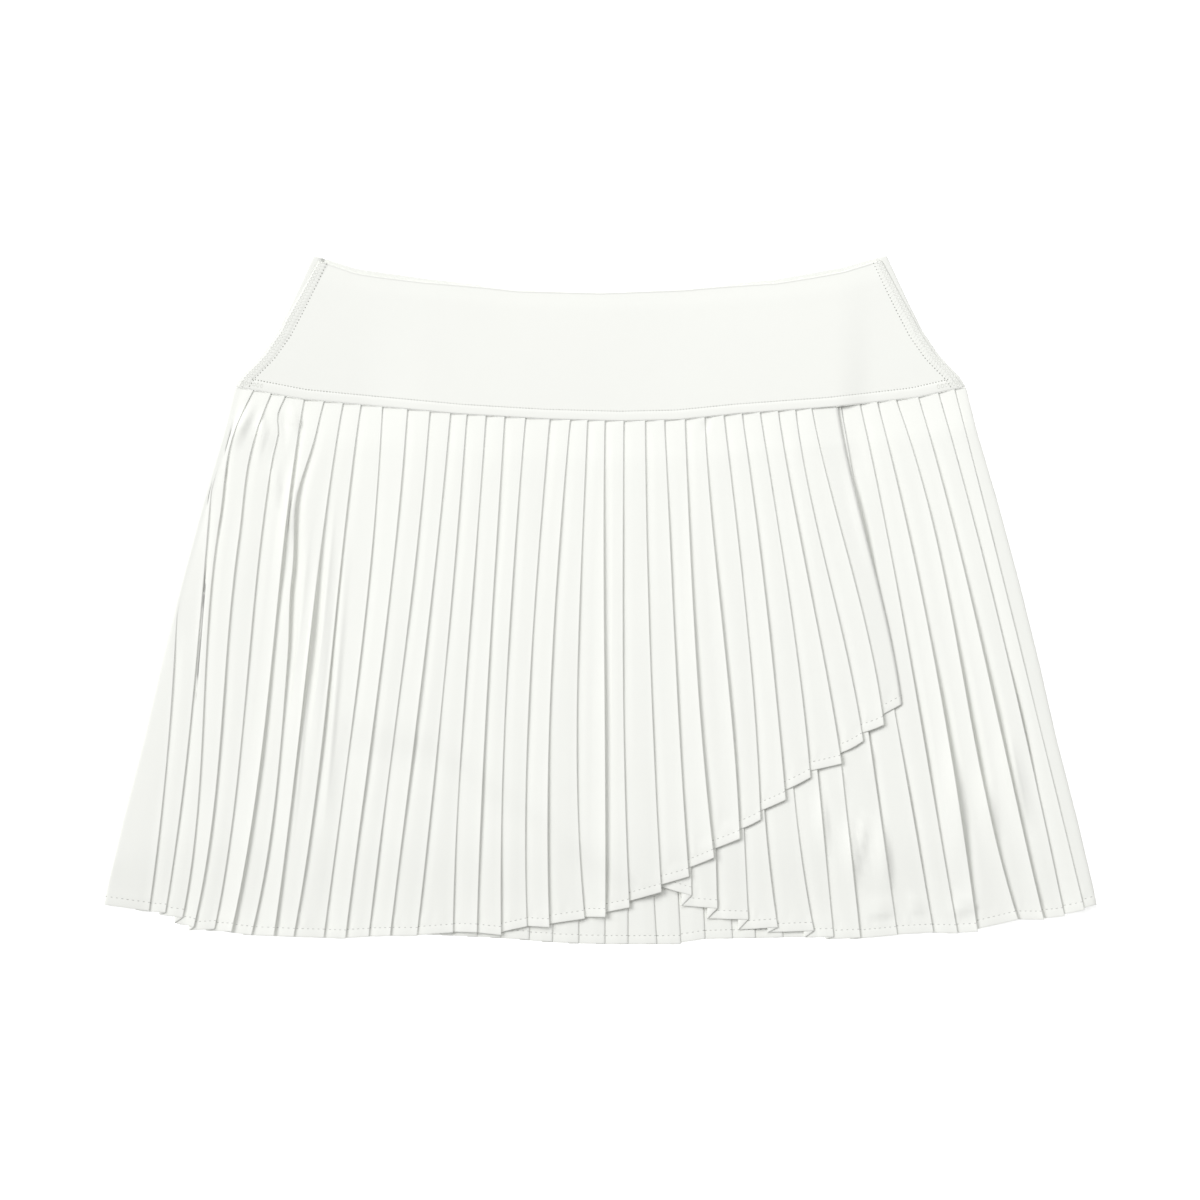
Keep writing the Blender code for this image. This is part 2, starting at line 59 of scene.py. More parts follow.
# The stack of the flat skirt, the same sizes as the solids have
PLEAT_WALL = 1.0        # thickness of a pleated wall
YOKE_WALL = 1.2         # thickness of a wall of the yoke
LAYER_GAP = 0.3         # air between two layers
FOLD_GAP = 0.3          # air inside a fold
SEAM_GAP = 0.3          # air between the yoke and the pleats at the waist seam
SIDE_ROUND = 1.2        # width in which a side edge rolls over
SIDE_KNEE = 0.35        # share of its drop at which it bends
SIDE_CLEAR = 0.1        # how much lower than its pleats the back's side edge starts
RISE_AT_SEAM = 0.8      # height of a pleat's step under the yoke
RISE_FULL = 2 * (PLEAT_WALL + FOLD_GAP)
RISE_LENGTH = 22.0      # distance below the seam from which a step has its full height
DEPTH_AT_HEM = 6.0      # how far the cloth turns back behind a fold at the hem
DEPTH_GROWTH = 0.8      # power with which that grows down the pleat
MOST_DEPTH = 0.5        # greatest share of a pleat's free width that is turned back
SHORE = 1.0             # width of level cloth beside a fold
MARGIN_SHARE = 0.22     # greatest share of a pleat's width for that
RETURN_HIGH = 0.53      # share of its step at which a sharp fold turns under
SLACK_HIGH = 0.67       # the same for a slack one
SIDE_FADE = 7.0         # width beside the side edge in which a pleat runs out
CROWDED = 0.8           # least distance of two creases there
FIRM = 0.9              # firmness from which the cloth turns back behind a fold
SETTLE = 65.0           # how far up the pleat that firmness is taken
LIFT_PEAK = 0.75        # share of its length where a fold stands open most

# The real cloth, which is thinner than the solids' walls
PLEAT_CLOTH = 0.3
YOKE_CLOTH = 0.6
PRESSED = 1.9           # how much lower than the solids' step a pressed pleat lies
PRESS_LENGTH = 8.0      # a fold is pressed sharp from this far below the seam
PRESS_SLOPE = 0.5       # and above that its step slopes over this length
WALL_LEAN = 0.24        # the wall under a fold leans out this far, unevenly,
LEAN_ROOM = 0.3         # but over no more than this share of the next pleat
REST_DOWN = 0.4         # the outer wrap settles this far on the inner one
OPEN_LENGTH = 0.25      # folds stand unevenly open from this share of their length on,
OPEN_MORE = 1.2         # and by this much more than their waves
BROW_HIGH = 0.12        # a pressed fold stands this much above its pleat,
BROW_LIFT = 0.9         # and its brow takes this share of how far it stands open
ROLL = 0.42             # a pleat sinks this far beside the fold before it, unevenly
ROLL_WIDE = 6.0
ROLL_LENGTH = 44.0
TROUGH_FADE = 0.01      # a trough ends where the roll beside its fold is under this share
DEEPEST = 2.7           # no hollow is deeper than this, less what the front has come down,
DEEPEST_DOUBLED = 0.4   # or than this where the outer wrap lies on the inner one
TABLE_GAP = 0.1         # the cloth stands this much off the table
HEM_TURN = 5.0          # height of the turned hem
HEM_THICKER = 0.55      # the hem is this share thicker than the cloth, and thins out
HEM_THINS = 1.4         # over this height
STITCH_PRESS = 0.35     # its stitches press it flatter by this share, this far up and down
STITCH_REACH = 0.8
STITCH_OVER = 0.8       # and lie this share of the cloth's thickness above its middle
PUCKER = 0.2            # height of the small waves above the hem's stitches
PUCKER_UP = 8.5
PUCKER_REACH = 4.5
PUCKER_TURNS = 0.85     # their turn for each millimetre across, how far that wanders,
PUCKER_WANDER = 1.6     # how fast, and their slant
PUCKER_WANDERS = 0.21
PUCKER_SLANT = 0.12
EDGE_ROUND = 0.9        # an edge of pleated cloth is rounded over this width,
KNIT_ROUND = 1.5        # one of the knit over this,
EDGE_LEFT = 0.2         # and this share of the thickness is left at the very edge
THREAD_OVER = 0.05      # the knit's stitches lie this much above it
THREAD_RELIEF = 0.05    # and the cloth's own threads stand out this much
HEM_SAG = 2.3           # the front comes down on the back by this much at its lower hem
SAG_START = -135.0
SAG_LENGTH = 50.0
SAG_FROM_SIDE = 30.0
ENDLESS = float("inf")
CORNER_ROOM = 0.48      # a round corner takes no more than this share of the runs beside it
TINY = 1e-9


class Side(NamedTuple):
    """Half of the skirt's width at one height."""

    y: float
    half_width: float


class Point(NamedTuple):
    """A point of a curve across the skirt."""

    x: float
    y: float


class Crease(NamedTuple):
    """One pleat's edge.

    It runs from the waist to the hem's tip and bows aside by high and low at one and two thirds
    of its length. The hem turns up or down behind it, and its fold may stand open.
    """

    waist: float
    hem: float
    hem_y: float
    high: float = 0.0
    low: float = 0.0
    turn: float = 0.0
    lift: float = 0.0


class Bend(NamedTuple):
    """A place where a pleat's edge runs aside: its height, reach and shift."""

    crease: int
    y: float
    reach: float
    shift: float


class Trough(NamedTuple):
    """A soft hollow at the foot of one pleat's edge: place and reach along it, width, depth."""

    crease: int
    y: float
    reach: float
    wide: float
    deep: float


class Dent(NamedTuple):
    """A soft dent or ridge in the cloth: middle, half lengths, turn in degrees, height."""

    x: float
    y: float
    along: float
    across: float
    turn: float
    height: float


class Wave(NamedTuple):
    """A wave down the pleats: height, length of one radian, phase for each pleat, start."""

    height: float
    length: float
    phase: float
    start: float = 0.0


class KnitWave(NamedTuple):
    """A slanting wave in the knit: its share, length of one radian both ways, start."""

    share: float
    across: float
    along: float
    start: float


def table(kind: type, *rows: tuple[float, ...]) -> tuple:
    """Rows of numbers as named tuples of one kind."""
    return tuple(kind(*row) for row in rows)


LEAN_WAVES = (Wave(0.15, ENDLESS, 1.9, 0.7), Wave(0.07, 27.0, 2.1))
ROLL_WAVES = (Wave(0.22, 29.0, 2.7),)
OPEN_WAVES = (Wave(1.0, 31.0, 2.4), Wave(0.6, 13.0, 4.08))

SIDES = table(
    Side,
    (200.0, 166.5), (188.0, 172.0), (172.0, 179.5), (156.0, 187.5), (142.0, 197.0), (130.0, 208.5),
    (123.0, 213.0), (98.5, 219.0), (58.0, 231.0), (11.5, 243.5), (-35.0, 255.0), (-81.0, 265.5),
    (-127.5, 277.5), (-168.0, 287.0), (-177.0, 288.5),
)
WAIST_EDGE = table(
    Point,
    (-166.5, 198.6), (-157.0, 196.0), (-141.0, 191.0), (-102.0, 185.5), (-48.0, 179.5),
    (0.0, 178.3), (48.0, 180.0), (102.0, 185.0), (141.0, 192.0), (157.0, 196.5), (166.5, 198.6),
)
WAIST_SEAM = table(
    Point,
    (-213.0, 124.0), (-172.5, 116.5), (-130.0, 112.5), (-82.5, 108.0), (-32.0, 105.0),
    (11.5, 103.8), (45.0, 104.5), (79.5, 108.0), (134.5, 112.0), (184.0, 117.5), (213.0, 124.0),
)
BACK_HEM = table(
    Point,
    (-288.5, -177.0), (-200.0, -191.0), (-100.0, -194.5), (-57.5, -196.5), (-27.0, -199.3),
    (3.0, -200.0), (46.0, -200.0), (54.0, -197.0), (110.0, -196.0), (200.0, -191.0),
    (288.5, -177.0),
)
FRONT_CORNER_Y = -177.0
BACK_EDGE_SHOWS = 1.4
BACK_EDGE_FROM = 0.6

OVERLAP = table(
    Crease,
    (-243.5, -262.0, -180.5, 5.0, 5.5),
    (-220.0, -252.5, -181.5, 1.5, 3.0, -1.0),
    (-200.5, -242.5, -184.5, -10.0, -2.5, -3.0),
    (-190.5, -236.0, -190.0, -6.5, 0.0, -2.0, 0.5),
    (-183.0, -224.0, -191.0, -2.5, 1.5, -1.0),
    (-172.0, -214.0, -192.5, 0.5, 3.5, 0.0, 1.5),
    (-160.5, -202.5, -194.5, -3.0, 2.5, 0.0, 0.5),
    (-149.5, -189.5, -195.0, -1.5, 0.0, 0.0, 1.2),
    (-139.0, -178.0, -195.5, 0.5, 2.5, 0.0, 0.5),
    (-126.5, -160.5, -196.0, 3.5, 2.5),
    (-112.0, -148.0, -196.5, 2.5, 1.5, 0.0, 0.5),
    (-99.0, -134.5, -195.5, 2.0, 1.0),
    (-87.0, -122.0, -195.0, 1.5, 1.0, 0.0, 0.5),
    (-77.5, -106.5, -195.0, 1.5, 1.5),
    (-66.5, -85.5, -193.0, -1.0, -2.0, 0.5),
    (-55.5, -71.5, -193.0, -1.0, -1.5, 0.5, 0.5),
    (-43.5, -57.5, -194.5, -3.0, -3.5, 0.5),
    (-29.5, -42.5, -189.5, -3.5, -4.5, 0.5),
    (-17.5, -29.5, -190.0, -4.0, -4.5, 1.0, 0.5),
    (-7.5, -9.0, -185.0, -3.5, -5.0, 1.0),
    (2.5, 3.0, -184.0, -0.5, 0.0, 1.5, 1.5),
    (13.5, 17.0, -178.5, -1.5, -2.0, 2.0),
    (26.0, 35.5, -169.5, -1.5, -1.5, 2.5),
    (37.0, 51.5, -160.5, -0.5, -1.0, 2.5, 0.5),
    (49.0, 66.0, -149.5, -2.0, -2.5, 2.5, 1.2),
    (60.5, 81.0, -138.5, -0.5, 1.0, 2.5, 1.0),
    (71.5, 93.0, -127.5, 2.0, 2.5, 2.5),
    (82.0, 107.5, -116.0, 1.5, 1.5, 2.5, 0.5),
    (92.5, 122.0, -103.0, 1.5, 2.0, 2.5),
    (103.0, 140.0, -95.0, -0.5, 0.5, 2.5, 0.5),
    (113.0, 152.5, -82.0, -1.5, 0.5, 2.5),
    (122.5, 164.5, -72.5, 0.5, 2.5, 2.5, 0.5),
    (138.0, 175.0, -60.5, -0.5, 1.5),
)
UNDERLAP = table(
    Crease,
    (48.0, 53.0, -171.5, 0.0, 0.0, -6.0),
    (59.5, 68.0, -179.0, 0.0, 0.0, -6.0),
    (71.0, 86.0, -185.5, 0.0, 0.0, -6.0),
    (82.5, 103.0, -190.0, 0.0, -3.0, -3.0),
    (94.0, 124.0, -192.0, 0.0, -3.5, -4.0),
    (105.5, 135.5, -195.5, 0.0, 0.0, -1.5),
    (117.0, 151.0, -196.0, 0.0, 0.0, -1.0),
    (128.5, 172.5, -194.5),
    (139.5, 193.5, -193.0),
    (150.5, 207.5, -193.5, 2.0, 1.0),
    (160.5, 219.0, -192.5, 4.5, 4.0, 0.0, 1.2),
    (171.5, 242.5, -185.5, 4.0, -1.0, 0.0, 1.2),
    (184.5, 257.5, -185.5, 2.5, 1.0, 0.0, 1.5),
    (196.0, 269.5, -183.5, 3.0, 2.5),
    (205.5, 281.0, -180.0, 0.5, 0.5),
)
HIDDEN_PLEATS = 10
FREE_EDGE = Crease(-69.5, -97.5, -63.0)
HIDDEN_TURN = -5.0
SINK_START = 30.0
SINK_LENGTH = 42.0
SINK_DOWN = 2.4
FREE_EDGE_SINK = 20.0
YOKE_COVERS = 0.3
BACK_PLEATS = 39
BACK_TURN = 0.3
BACK_SHIFT = -0.0135
BACK_SWAY = 1.2
SWAY_STEP = 2.4

OVERLAP_BENDS = table(
    Bend,
    (2, 92.0, 45.0, -3.4),
    (3, 86.0, 50.0, -2.6),
    (4, 108.0, 11.0, -1.9),
    (4, 94.0, 10.0, 0.8),
    (6, 56.0, 42.0, -4.4),
    (6, 8.0, 40.0, -1.6),
)
OVERLAP_TROUGHS = table(
    Trough,
    (2, 60.0, 50.0, 3.5, 1.0),
    (5, 45.0, 75.0, 4.5, 1.9),
    (6, 15.0, 100.0, 6.5, 2.3),
    (7, -30.0, 90.0, 6.0, 1.8),
    (8, -50.0, 90.0, 5.0, 1.2),
    (12, -60.0, 90.0, 4.5, 0.7),
    (15, 20.0, 90.0, 4.0, 0.6),
    (20, -30.0, 160.0, 5.0, 1.5),
    (24, -60.0, 70.0, 4.0, 0.6),
    (25, -50.0, 70.0, 3.5, 0.6),
)
UNDERLAP_TROUGHS = table(
    Trough,
    (17, -110.0, 60.0, 4.0, 0.8),
    (18, -120.0, 60.0, 4.5, 0.8),
    (19, -90.0, 90.0, 6.0, 1.3),
    (20, -95.0, 90.0, 7.0, 2.0),
    (21, -85.0, 90.0, 7.0, 1.8),
    (22, -70.0, 90.0, 6.0, 1.4),
    (23, -72.0, 45.0, 3.5, 2.0),
)
OVERLAP_DENTS = table(
    Dent,
    (151.0, 47.0, 45.0, 5.0, -76.8, 1.1),
    (-150.0, -10.0, 125.0, 33.0, 84.0, -0.7),
    (-193.7, 97.0, 14.0, 3.0, -75.0, 1.2),
    (-196.5, 97.0, 14.0, 2.8, -86.0, 2.1),
    (-207.5, 102.0, 14.0, 5.5, 62.0, 2.6),
    (-177.0, 105.0, 9.5, 3.0, -62.0, 2.1),
    (-183.0, 101.0, 10.0, 2.2, -75.0, -1.1),
    (-188.0, 68.0, 16.0, 3.6, -75.0, 1.9),
    (-181.5, 45.0, 48.0, 5.5, 82.0, 2.4),
    (-176.0, -45.0, 105.0, 2.8, 85.0, 1.7),
    (-170.0, -45.0, 105.0, 2.8, 85.0, 1.6),
    (-162.5, -40.0, 110.0, 3.0, 85.0, 1.7),
    (-153.0, -45.0, 110.0, 3.2, 85.5, 1.5),
    (61.0, 101.0, 9.0, 2.5, 60.0, -0.6),
    (59.0, -139.0, 5.5, 4.0, 25.0, -0.5),
    (72.5, -128.0, 5.5, 4.0, 25.0, -0.45),
    (44.0, -152.0, 5.0, 4.0, 25.0, -0.35),
    (-280.0, -160.0, 12.0, 7.0, 60.0, -0.8),
)
UNDERLAP_DENTS = table(
    Dent,
    (152.5, 47.0, 42.0, 4.0, -76.8, -0.9),
    (150.0, 85.0, 22.0, 8.0, -76.8, -0.7),
    (206.5, -115.0, 45.0, 7.5, 96.0, 3.2),
    (226.0, -120.0, 28.0, 6.0, 101.0, 2.4),
    (240.5, -105.0, 38.0, 6.5, 102.0, 2.7),
    (164.5, -148.0, 29.0, 6.5, 97.0, 3.0),
    (146.0, -147.0, 24.0, 5.5, 96.0, 2.6),
    (152.0, -140.0, 20.0, 3.2, 75.0, 1.8),
    (141.5, -106.0, 12.0, 2.2, 72.0, 0.9),
    (158.0, -93.0, 13.0, 2.5, 80.0, 0.8),
    (129.5, -128.0, 22.0, 5.0, 96.0, 2.0),
    (163.0, -181.0, 12.0, 4.5, 5.0, 1.7),
    (183.0, -178.0, 7.0, 5.0, -50.0, 1.6),
    (212.0, -177.0, 13.0, 6.5, 30.0, 1.7),
)


def mix(start: Value, end: Value, share: Value) -> Value:
    """Value that lies the given share of the way from start to end."""
    return start + (end - start) * share


def ease(share: Value) -> Value:
    """Smooth step from 0 to 1."""
    share = np.clip(share, 0.0, 1.0)
    return share * share * (3.0 - 2.0 * share)


def bell(distance: Value) -> Value:
    """1 at no distance, easing to 0 at a distance of 1."""
    return 1.0 - ease(np.abs(distance))


def ripple(waves: tuple[Wave, ...], number: int, y: Value) -> Value:
    """Sum of some waves down one pleat."""
    return sum(wave.height * np.sin(y / wave.length + wave.phase * number + wave.start)
               for wave in waves)


def edge_left(away: Value, reach: float) -> Value:
    """Share of the thickness that is left at a distance from a rounded edge."""
    left = np.sqrt(1.0 - (1.0 - np.clip(away / reach, 0.0, 1.0)) ** 2)
    return np.maximum(left, EDGE_LEFT)


def curve_y(points: tuple[Point, ...], x: Value) -> Value:
    """Height of a curve across the skirt."""
    return np.interp(x, [point.x for point in points], [point.y for point in points])


def half_width(y: Value) -> Value:
    """Half of the skirt's width."""
    return np.interp(-np.asarray(y), [-side.y for side in SIDES],
                     [side.half_width for side in SIDES])


def crease_x(crease: Crease, y: Value) -> Value:
    """Where a crease runs at given heights, along a cubic curve."""
    top = curve_y(WAIST_SEAM, crease.waist)
    share = (top - y) / (top - crease.hem_y)
    bend = np.clip(share, 0.0, 1.0)
    bow = crease.high * (2.0 * THIRD - bend) + crease.low * (bend - THIRD)
    bow = bow * bend * (1.0 - bend) / (THIRD * THIRD * (1.0 - THIRD))
    return mix(crease.waist, crease.hem, share) + bow


def rise_at(below_seam: Value) -> Value:
    """Height of a solid's step at a distance below the waist seam."""
    return mix(RISE_AT_SEAM, RISE_FULL, np.minimum(below_seam / RISE_LENGTH, 1.0))


def pressed_at(below_seam: Value) -> Value:
    """How much of that step the pressed cloth goes without."""
    return PRESSED * np.minimum(below_seam / RISE_LENGTH, 1.0)


def hidden_creases() -> list[Crease]:
    """Creases of the inner wrap that lie under the outer one."""
    first = UNDERLAP[0]
    creases = [FREE_EDGE]
    for count in range(1, HIDDEN_PLEATS):
        share = count / HIDDEN_PLEATS
        waist = mix(FREE_EDGE.waist, first.waist, share)
        hem = mix(FREE_EDGE.hem, first.hem, share)
        hem_y = mix(FREE_EDGE.hem_y, first.hem_y, share)
        creases.append(Crease(waist, hem, hem_y, turn=HIDDEN_TURN))
    return creases


def back_creases() -> list[Crease]:
    """Creases of the back, listed from its left as seen from behind."""
    creases = []
    for count in range(1, BACK_PLEATS):
        sway = BACK_SWAY * float(np.sin(SWAY_STEP * count))
        across = 2.0 * count / BACK_PLEATS - 1.0 + BACK_SHIFT
        waist = across * float(half_width(WAIST_SEAM[0].y)) + 0.5 * sway
        hem = across * float(half_width(BACK_HEM[0].y)) + sway
        hem_y = float(curve_y(BACK_HEM, -hem))
        creases.append(Crease(waist, hem, hem_y, sway, -0.5 * sway, BACK_TURN))
    return creases


def underlap_hem_y(x: Value) -> Value:
    """Height of the inner wrap's slanting hem under the outer one."""
    tips = [FREE_EDGE] + list(UNDERLAP[:4])
    return np.interp(x, [tip.hem for tip in tips], [tip.hem_y for tip in tips])


def cover(x: Value, y: Value) -> Value:
    """1 where the outer wrap lies on the inner one, easing to 0 where it lies on the back."""
    sideways = np.maximum(crease_x(FREE_EDGE, y) - x, 0.0)
    down = np.maximum(SINK_DOWN * (underlap_hem_y(x) - y), 0.0)
    return 1.0 - ease((np.hypot(sideways, down) - SINK_START) / SINK_LENGTH)


class Layer(Enum):
    """Which of the three pleated pieces a panel is."""

    BACK = "back"
    UNDERLAP = "underlap"
    OVERLAP = "overlap"


@dataclass(frozen=True)
class Corner:
    """How a corner of a cross-section is rounded: radius, points on it and points after it."""

    radius: float
    points: int
    after: int = 0


CORNERS = {
    "inner": Corner(0.5, 2),
    "shore": Corner(1.0, 2, 5),
    "step": Corner(2.0, 2),
    "brow": Corner(0.2, 1),
    "fold": Corner(0.3, 3),
    "under": Corner(0.4, 3, 1),
    "back": Corner(0.5, 2),
    "free": Corner(0.0, 1),
    "side_flat": Corner(1.0, 3),
    "side_turn": Corner(0.8, 3),
    "side_end": Corner(0.0, 1),
}


def rounded(control: Grid, corners: list[Corner]) -> tuple[Grid, list[int]]:
    """Cross-sections with their corners rounded and their long runs divided.

    Args:
        control: Corner points, as rows of columns of x, y and z.
        corners: How each column is rounded.

    Returns:
        The finer cross-sections, and the first fine column of each corner.
    """
    last = control.shape[1] - 1
    fine: list[Grid] = []
    starts = []
    ends: Grid | None = None
    spare = 0
    for index, corner in enumerate(corners):
        here = control[:, index]
        if corner.points == 1 or index in (0, last):
            arc = [here]
        else:
            arc = arc_points(control[:, index - 1], here, control[:, index + 1], corner)
        for count in range(spare):
            fine.append(mix(ends, arc[0], (count + 1) / (spare + 1)))
        starts.append(len(fine))
        fine += arc
        ends, spare = arc[-1], corner.after
    return np.stack(fine, axis=1), starts


def arc_points(before: Grid, here: Grid, after: Grid, corner: Corner) -> list[Grid]:
    """Points of a round corner between two straight runs."""
    ends = []
    for neighbour in (before, after):
        away = neighbour - here
        length = np.maximum(np.linalg.norm(away, axis=1, keepdims=True), TINY)
        ends.append(here + away * np.minimum(corner.radius / length, CORNER_ROOM))
    arc = []
    for share in np.linspace(0.0, 1.0, corner.points):
        arc.append(mix(mix(ends[0], here, share), mix(here, ends[1], share), share))
    return arc


def section_normals(points: Grid) -> Grid:
    """Directions in which a wall grows at each point of its cross-sections."""
    run = np.diff(points, axis=1)
    run[..., 1] = 0.0
    run /= np.maximum(np.linalg.norm(run, axis=2, keepdims=True), TINY)
    normal = np.stack([-run[..., 2], np.zeros(run.shape[:2]), run[..., 0]], axis=2)
    both = np.concatenate([normal[:, :1], normal], axis=1)
    both += np.concatenate([normal, normal[:, -1:]], axis=1)
    return both / np.maximum(np.linalg.norm(both, axis=2, keepdims=True), TINY)


def keep(name: str, mesh: bpy.types.Mesh) -> bpy.types.Object:
    """An object for a mesh, in the skirt's own collection."""
    home = bpy.data.collections.get("skirt")
    if home is None:
        home = bpy.data.collections.new("skirt")
        bpy.context.scene.collection.children.link(home)
    piece = bpy.data.objects.new(name, mesh)
    home.objects.link(piece)
    return piece


def shell_mesh(name: str, points: Grid, halves: Grid) -> bpy.types.Object:
    """Closed thin wall about a grid of points, with a UV map that follows the cloth.

    Args:
        name: Name of the new object.
        points: Rows of columns of x, y and z at the middle of the wall.
        halves: Half of the wall's thickness at each point.

    Returns:
        The new object, smooth shaded.
    """
    rows, columns = points.shape[:2]
    grow = section_normals(points) * halves[..., None]
    vertices = np.concatenate([(points + grow).reshape(-1, 3), (points - grow).reshape(-1, 3)])
    here = (np.arange(rows - 1)[:, None] * columns + np.arange(columns - 1)).reshape(-1)
    top = np.stack([here, here + columns, here + columns + 1, here + 1], axis=1)
    under = top[:, ::-1] + rows * columns
    faces = np.concatenate([top, under, rim_faces(rows, columns)])
    mesh = bpy.data.meshes.new(name)
    mesh.from_pydata((vertices * MM).tolist(), [], faces.tolist())
    steps = np.linalg.norm(np.diff(points, axis=1), axis=2)
    along = np.concatenate([np.zeros((rows, 1)), np.cumsum(steps, axis=1)], axis=1)
    flat = np.stack([along, points[..., 1]], axis=2).reshape(-1, 2) * MM
    corners = np.empty(len(mesh.loops), dtype=np.int32)
    mesh.loops.foreach_get("vertex_index", corners)
    layer = mesh.uv_layers.new(name="cloth")
    layer.data.foreach_set("uv", np.concatenate([flat, flat])[corners].reshape(-1))
    mesh.polygons.foreach_set("use_smooth", [True] * len(mesh.polygons))
    mesh.update()
    return keep(name, mesh)


def rim_faces(rows: int, columns: int) -> Grid:
    """Faces that close a wall around its four edges."""
    lower = rows * columns
    left = np.arange(rows - 1) * columns
    right = left + columns - 1
    first = np.arange(columns - 1)
    last = first + (rows - 1) * columns
    return np.concatenate([
        np.stack([left, left + lower, left + columns + lower, left + columns], axis=1),
        np.stack([right, right + columns, right + columns + lower, right + lower], axis=1),
        np.stack([first, first + 1, first + 1 + lower, first + lower], axis=1),
        np.stack([last, last + lower, last + 1 + lower, last + 1], axis=1),
    ])


@dataclass
class PleatedPanel:
    """One knife-pleated piece of the skirt."""

    name: str
    node: str
    layer: Layer
    creases: list[Crease]
    starts_at_side: bool
    ends_at_side: bool
    middle_rows: int
    flat: tuple[float, float]
    area: float
    bends: tuple[Bend, ...] = ()
    troughs: tuple[Trough, ...] = ()
    dents: tuple[Dent, ...] = ()
    waver: float = 0.14
    top_rows: tuple[float, ...] = (0.0, 0.5, 1.5, 3.5, 6.5, 10.0, 14.0, 18.0)
    hem_rows: tuple[float, ...] = (15.0, 12.0, 9.5, 7.6, 6.2, 5.4, 5.0, 4.6, 3.6, 2.2, 0.9,
                                   0.3, 0.0)
    columns: list[Column] = field(init=False)
    starts: list[int] = field(init=False)
    surface: Grid = field(init=False)

    def __post_init__(self) -> None:
        """List the columns of points from left to right."""
        self.columns = self.list_columns()

    def list_columns(self) -> list[Column]:
        """Kind of point and number of its crease, for each column from left to right."""
        first = 0 if self.starts_at_side else 1
        last = len(self.creases) - (0 if self.ends_at_side else 1)
        side = ("side_flat", "side_turn", "side_end")
        columns = [("free", 0)]
        if self.starts_at_side:
            columns = [(kind, -1) for kind in side[::-1]]
        for number in range(first, last):
            if number > first:
                columns += [("inner", number), ("shore", number)]
            columns += [(kind, number) for kind in ("step", "brow", "fold", "under", "back")]
        columns += [("inner", last), ("shore", last)]
        columns += [(kind, last) for kind in (side if self.ends_at_side else ("free",))]
        return columns[::-1] if self.layer is Layer.BACK else columns

    def side_x(self, y: Grid) -> Grid:
        """Half width between the middles of the rolled side edges."""
        return half_width(y) - 0.5 * PLEAT_WALL

    def free_x(self, number: int, y: Grid) -> Grid:
        """Place of one crease, which may run on beyond the side edges."""
        x = crease_x(self.creases[number], y)
        for bend in self.bends:
            if bend.crease == number:
                x = x + bend.shift * bell((y - bend.y) / bend.reach)
        return x

    def line_x(self, number: int, y: Grid) -> Grid:
        """Place of one crease, kept in order beside the side edges."""
        reach = self.side_x(y) - SIDE_ROUND
        if number < 0:
            return -reach
        if number == len(self.creases):
            return reach
        x = self.free_x(number, y)
        if self.starts_at_side:
            x = np.maximum(x, CROWDED * (number + 1) - reach)
        if self.ends_at_side:
            x = np.minimum(x, reach - CROWDED * (len(self.creases) - number))
        return x

    def world_x(self, x: Grid) -> Grid:
        """The back is drawn as seen from behind, so left and right change places."""
        return -x if self.layer is Layer.BACK else x

    def corner_y(self) -> float:
        """Hem height at the sides."""
        return BACK_HEM[0].y if self.layer is Layer.BACK else FRONT_CORNER_Y

    def seam_y(self, kind: str, number: int) -> float:
        """Top of a column, just under the yoke."""
        y = WAIST_SEAM[0].y
        for _ in range(2):
            x = self.section_point(kind, number, np.array([y]), np.zeros(1), np.zeros(1))[0]
            y = float(curve_y(WAIST_SEAM, self.world_x(x))[0]) - 0.5 * SEAM_GAP
        return y

    def hem_y(self, kind: str, number: int) -> float:
        """Foot of a column. Between an inner fold and the next fold the hem runs straight."""
        if kind.startswith("side"):
            return self.corner_y()
        if kind in ("free", "fold", "under"):
            return self.creases[number].hem_y
        if kind == "back":
            return self.creases[number].hem_y + self.creases[number].turn
        start_x, start_y = -float(half_width(self.corner_y())), self.corner_y()
        end_x, end_y = -start_x, self.corner_y()
        if number > 0:
            before = self.creases[number - 1]
            start_x, start_y = before.hem - DEPTH_AT_HEM, before.hem_y + before.turn
        if number < len(self.creases):
            end_x, end_y = self.creases[number].hem, self.creases[number].hem_y
        places = {"inner": start_x, "shore": start_x + DEPTH_AT_HEM + SHORE,
                  "step": end_x - DEPTH_AT_HEM - SHORE, "brow": end_x - 0.5 * SHORE}
        return float(np.interp(places[kind], [start_x, end_x], [start_y, end_y]))

    def width(self, number: int, y: Grid) -> Grid:
        """Distance from the crease before."""
        return self.line_x(number, y) - self.line_x(number - 1, y)

    def firmness(self, number: int, y: Grid) -> Grid:
        """0 where a pleat runs out at the side edge, 1 where it is fully folded."""
        if number < 0 or number == len(self.creases):
            return 0.0 * y
        from_side = self.side_x(y) - np.abs(self.free_x(number, y))
        return ease((from_side - SIDE_ROUND) / SIDE_FADE)

    def depth(self, number: int, y: Grid, share: Grid) -> Grid:
        """How far the cloth turns back behind a fold."""
        room = MOST_DEPTH * np.maximum(self.width(number, y) - 2.0 * SHORE, 0.0)
        settled = ease((self.firmness(number, y + SETTLE) - FIRM) / (1.0 - FIRM))
        return np.minimum(DEPTH_AT_HEM * share ** DEPTH_GROWTH, room) * settled

    def slack(self, number: int, y: Grid, below: Grid) -> Grid:
        """1 where a step slopes down gently, 0 where its fold is sharp."""
        loose = np.maximum(1.0 - below / PRESS_LENGTH, 1.0 - self.firmness(number, y))
        return np.maximum(loose, 0.0)

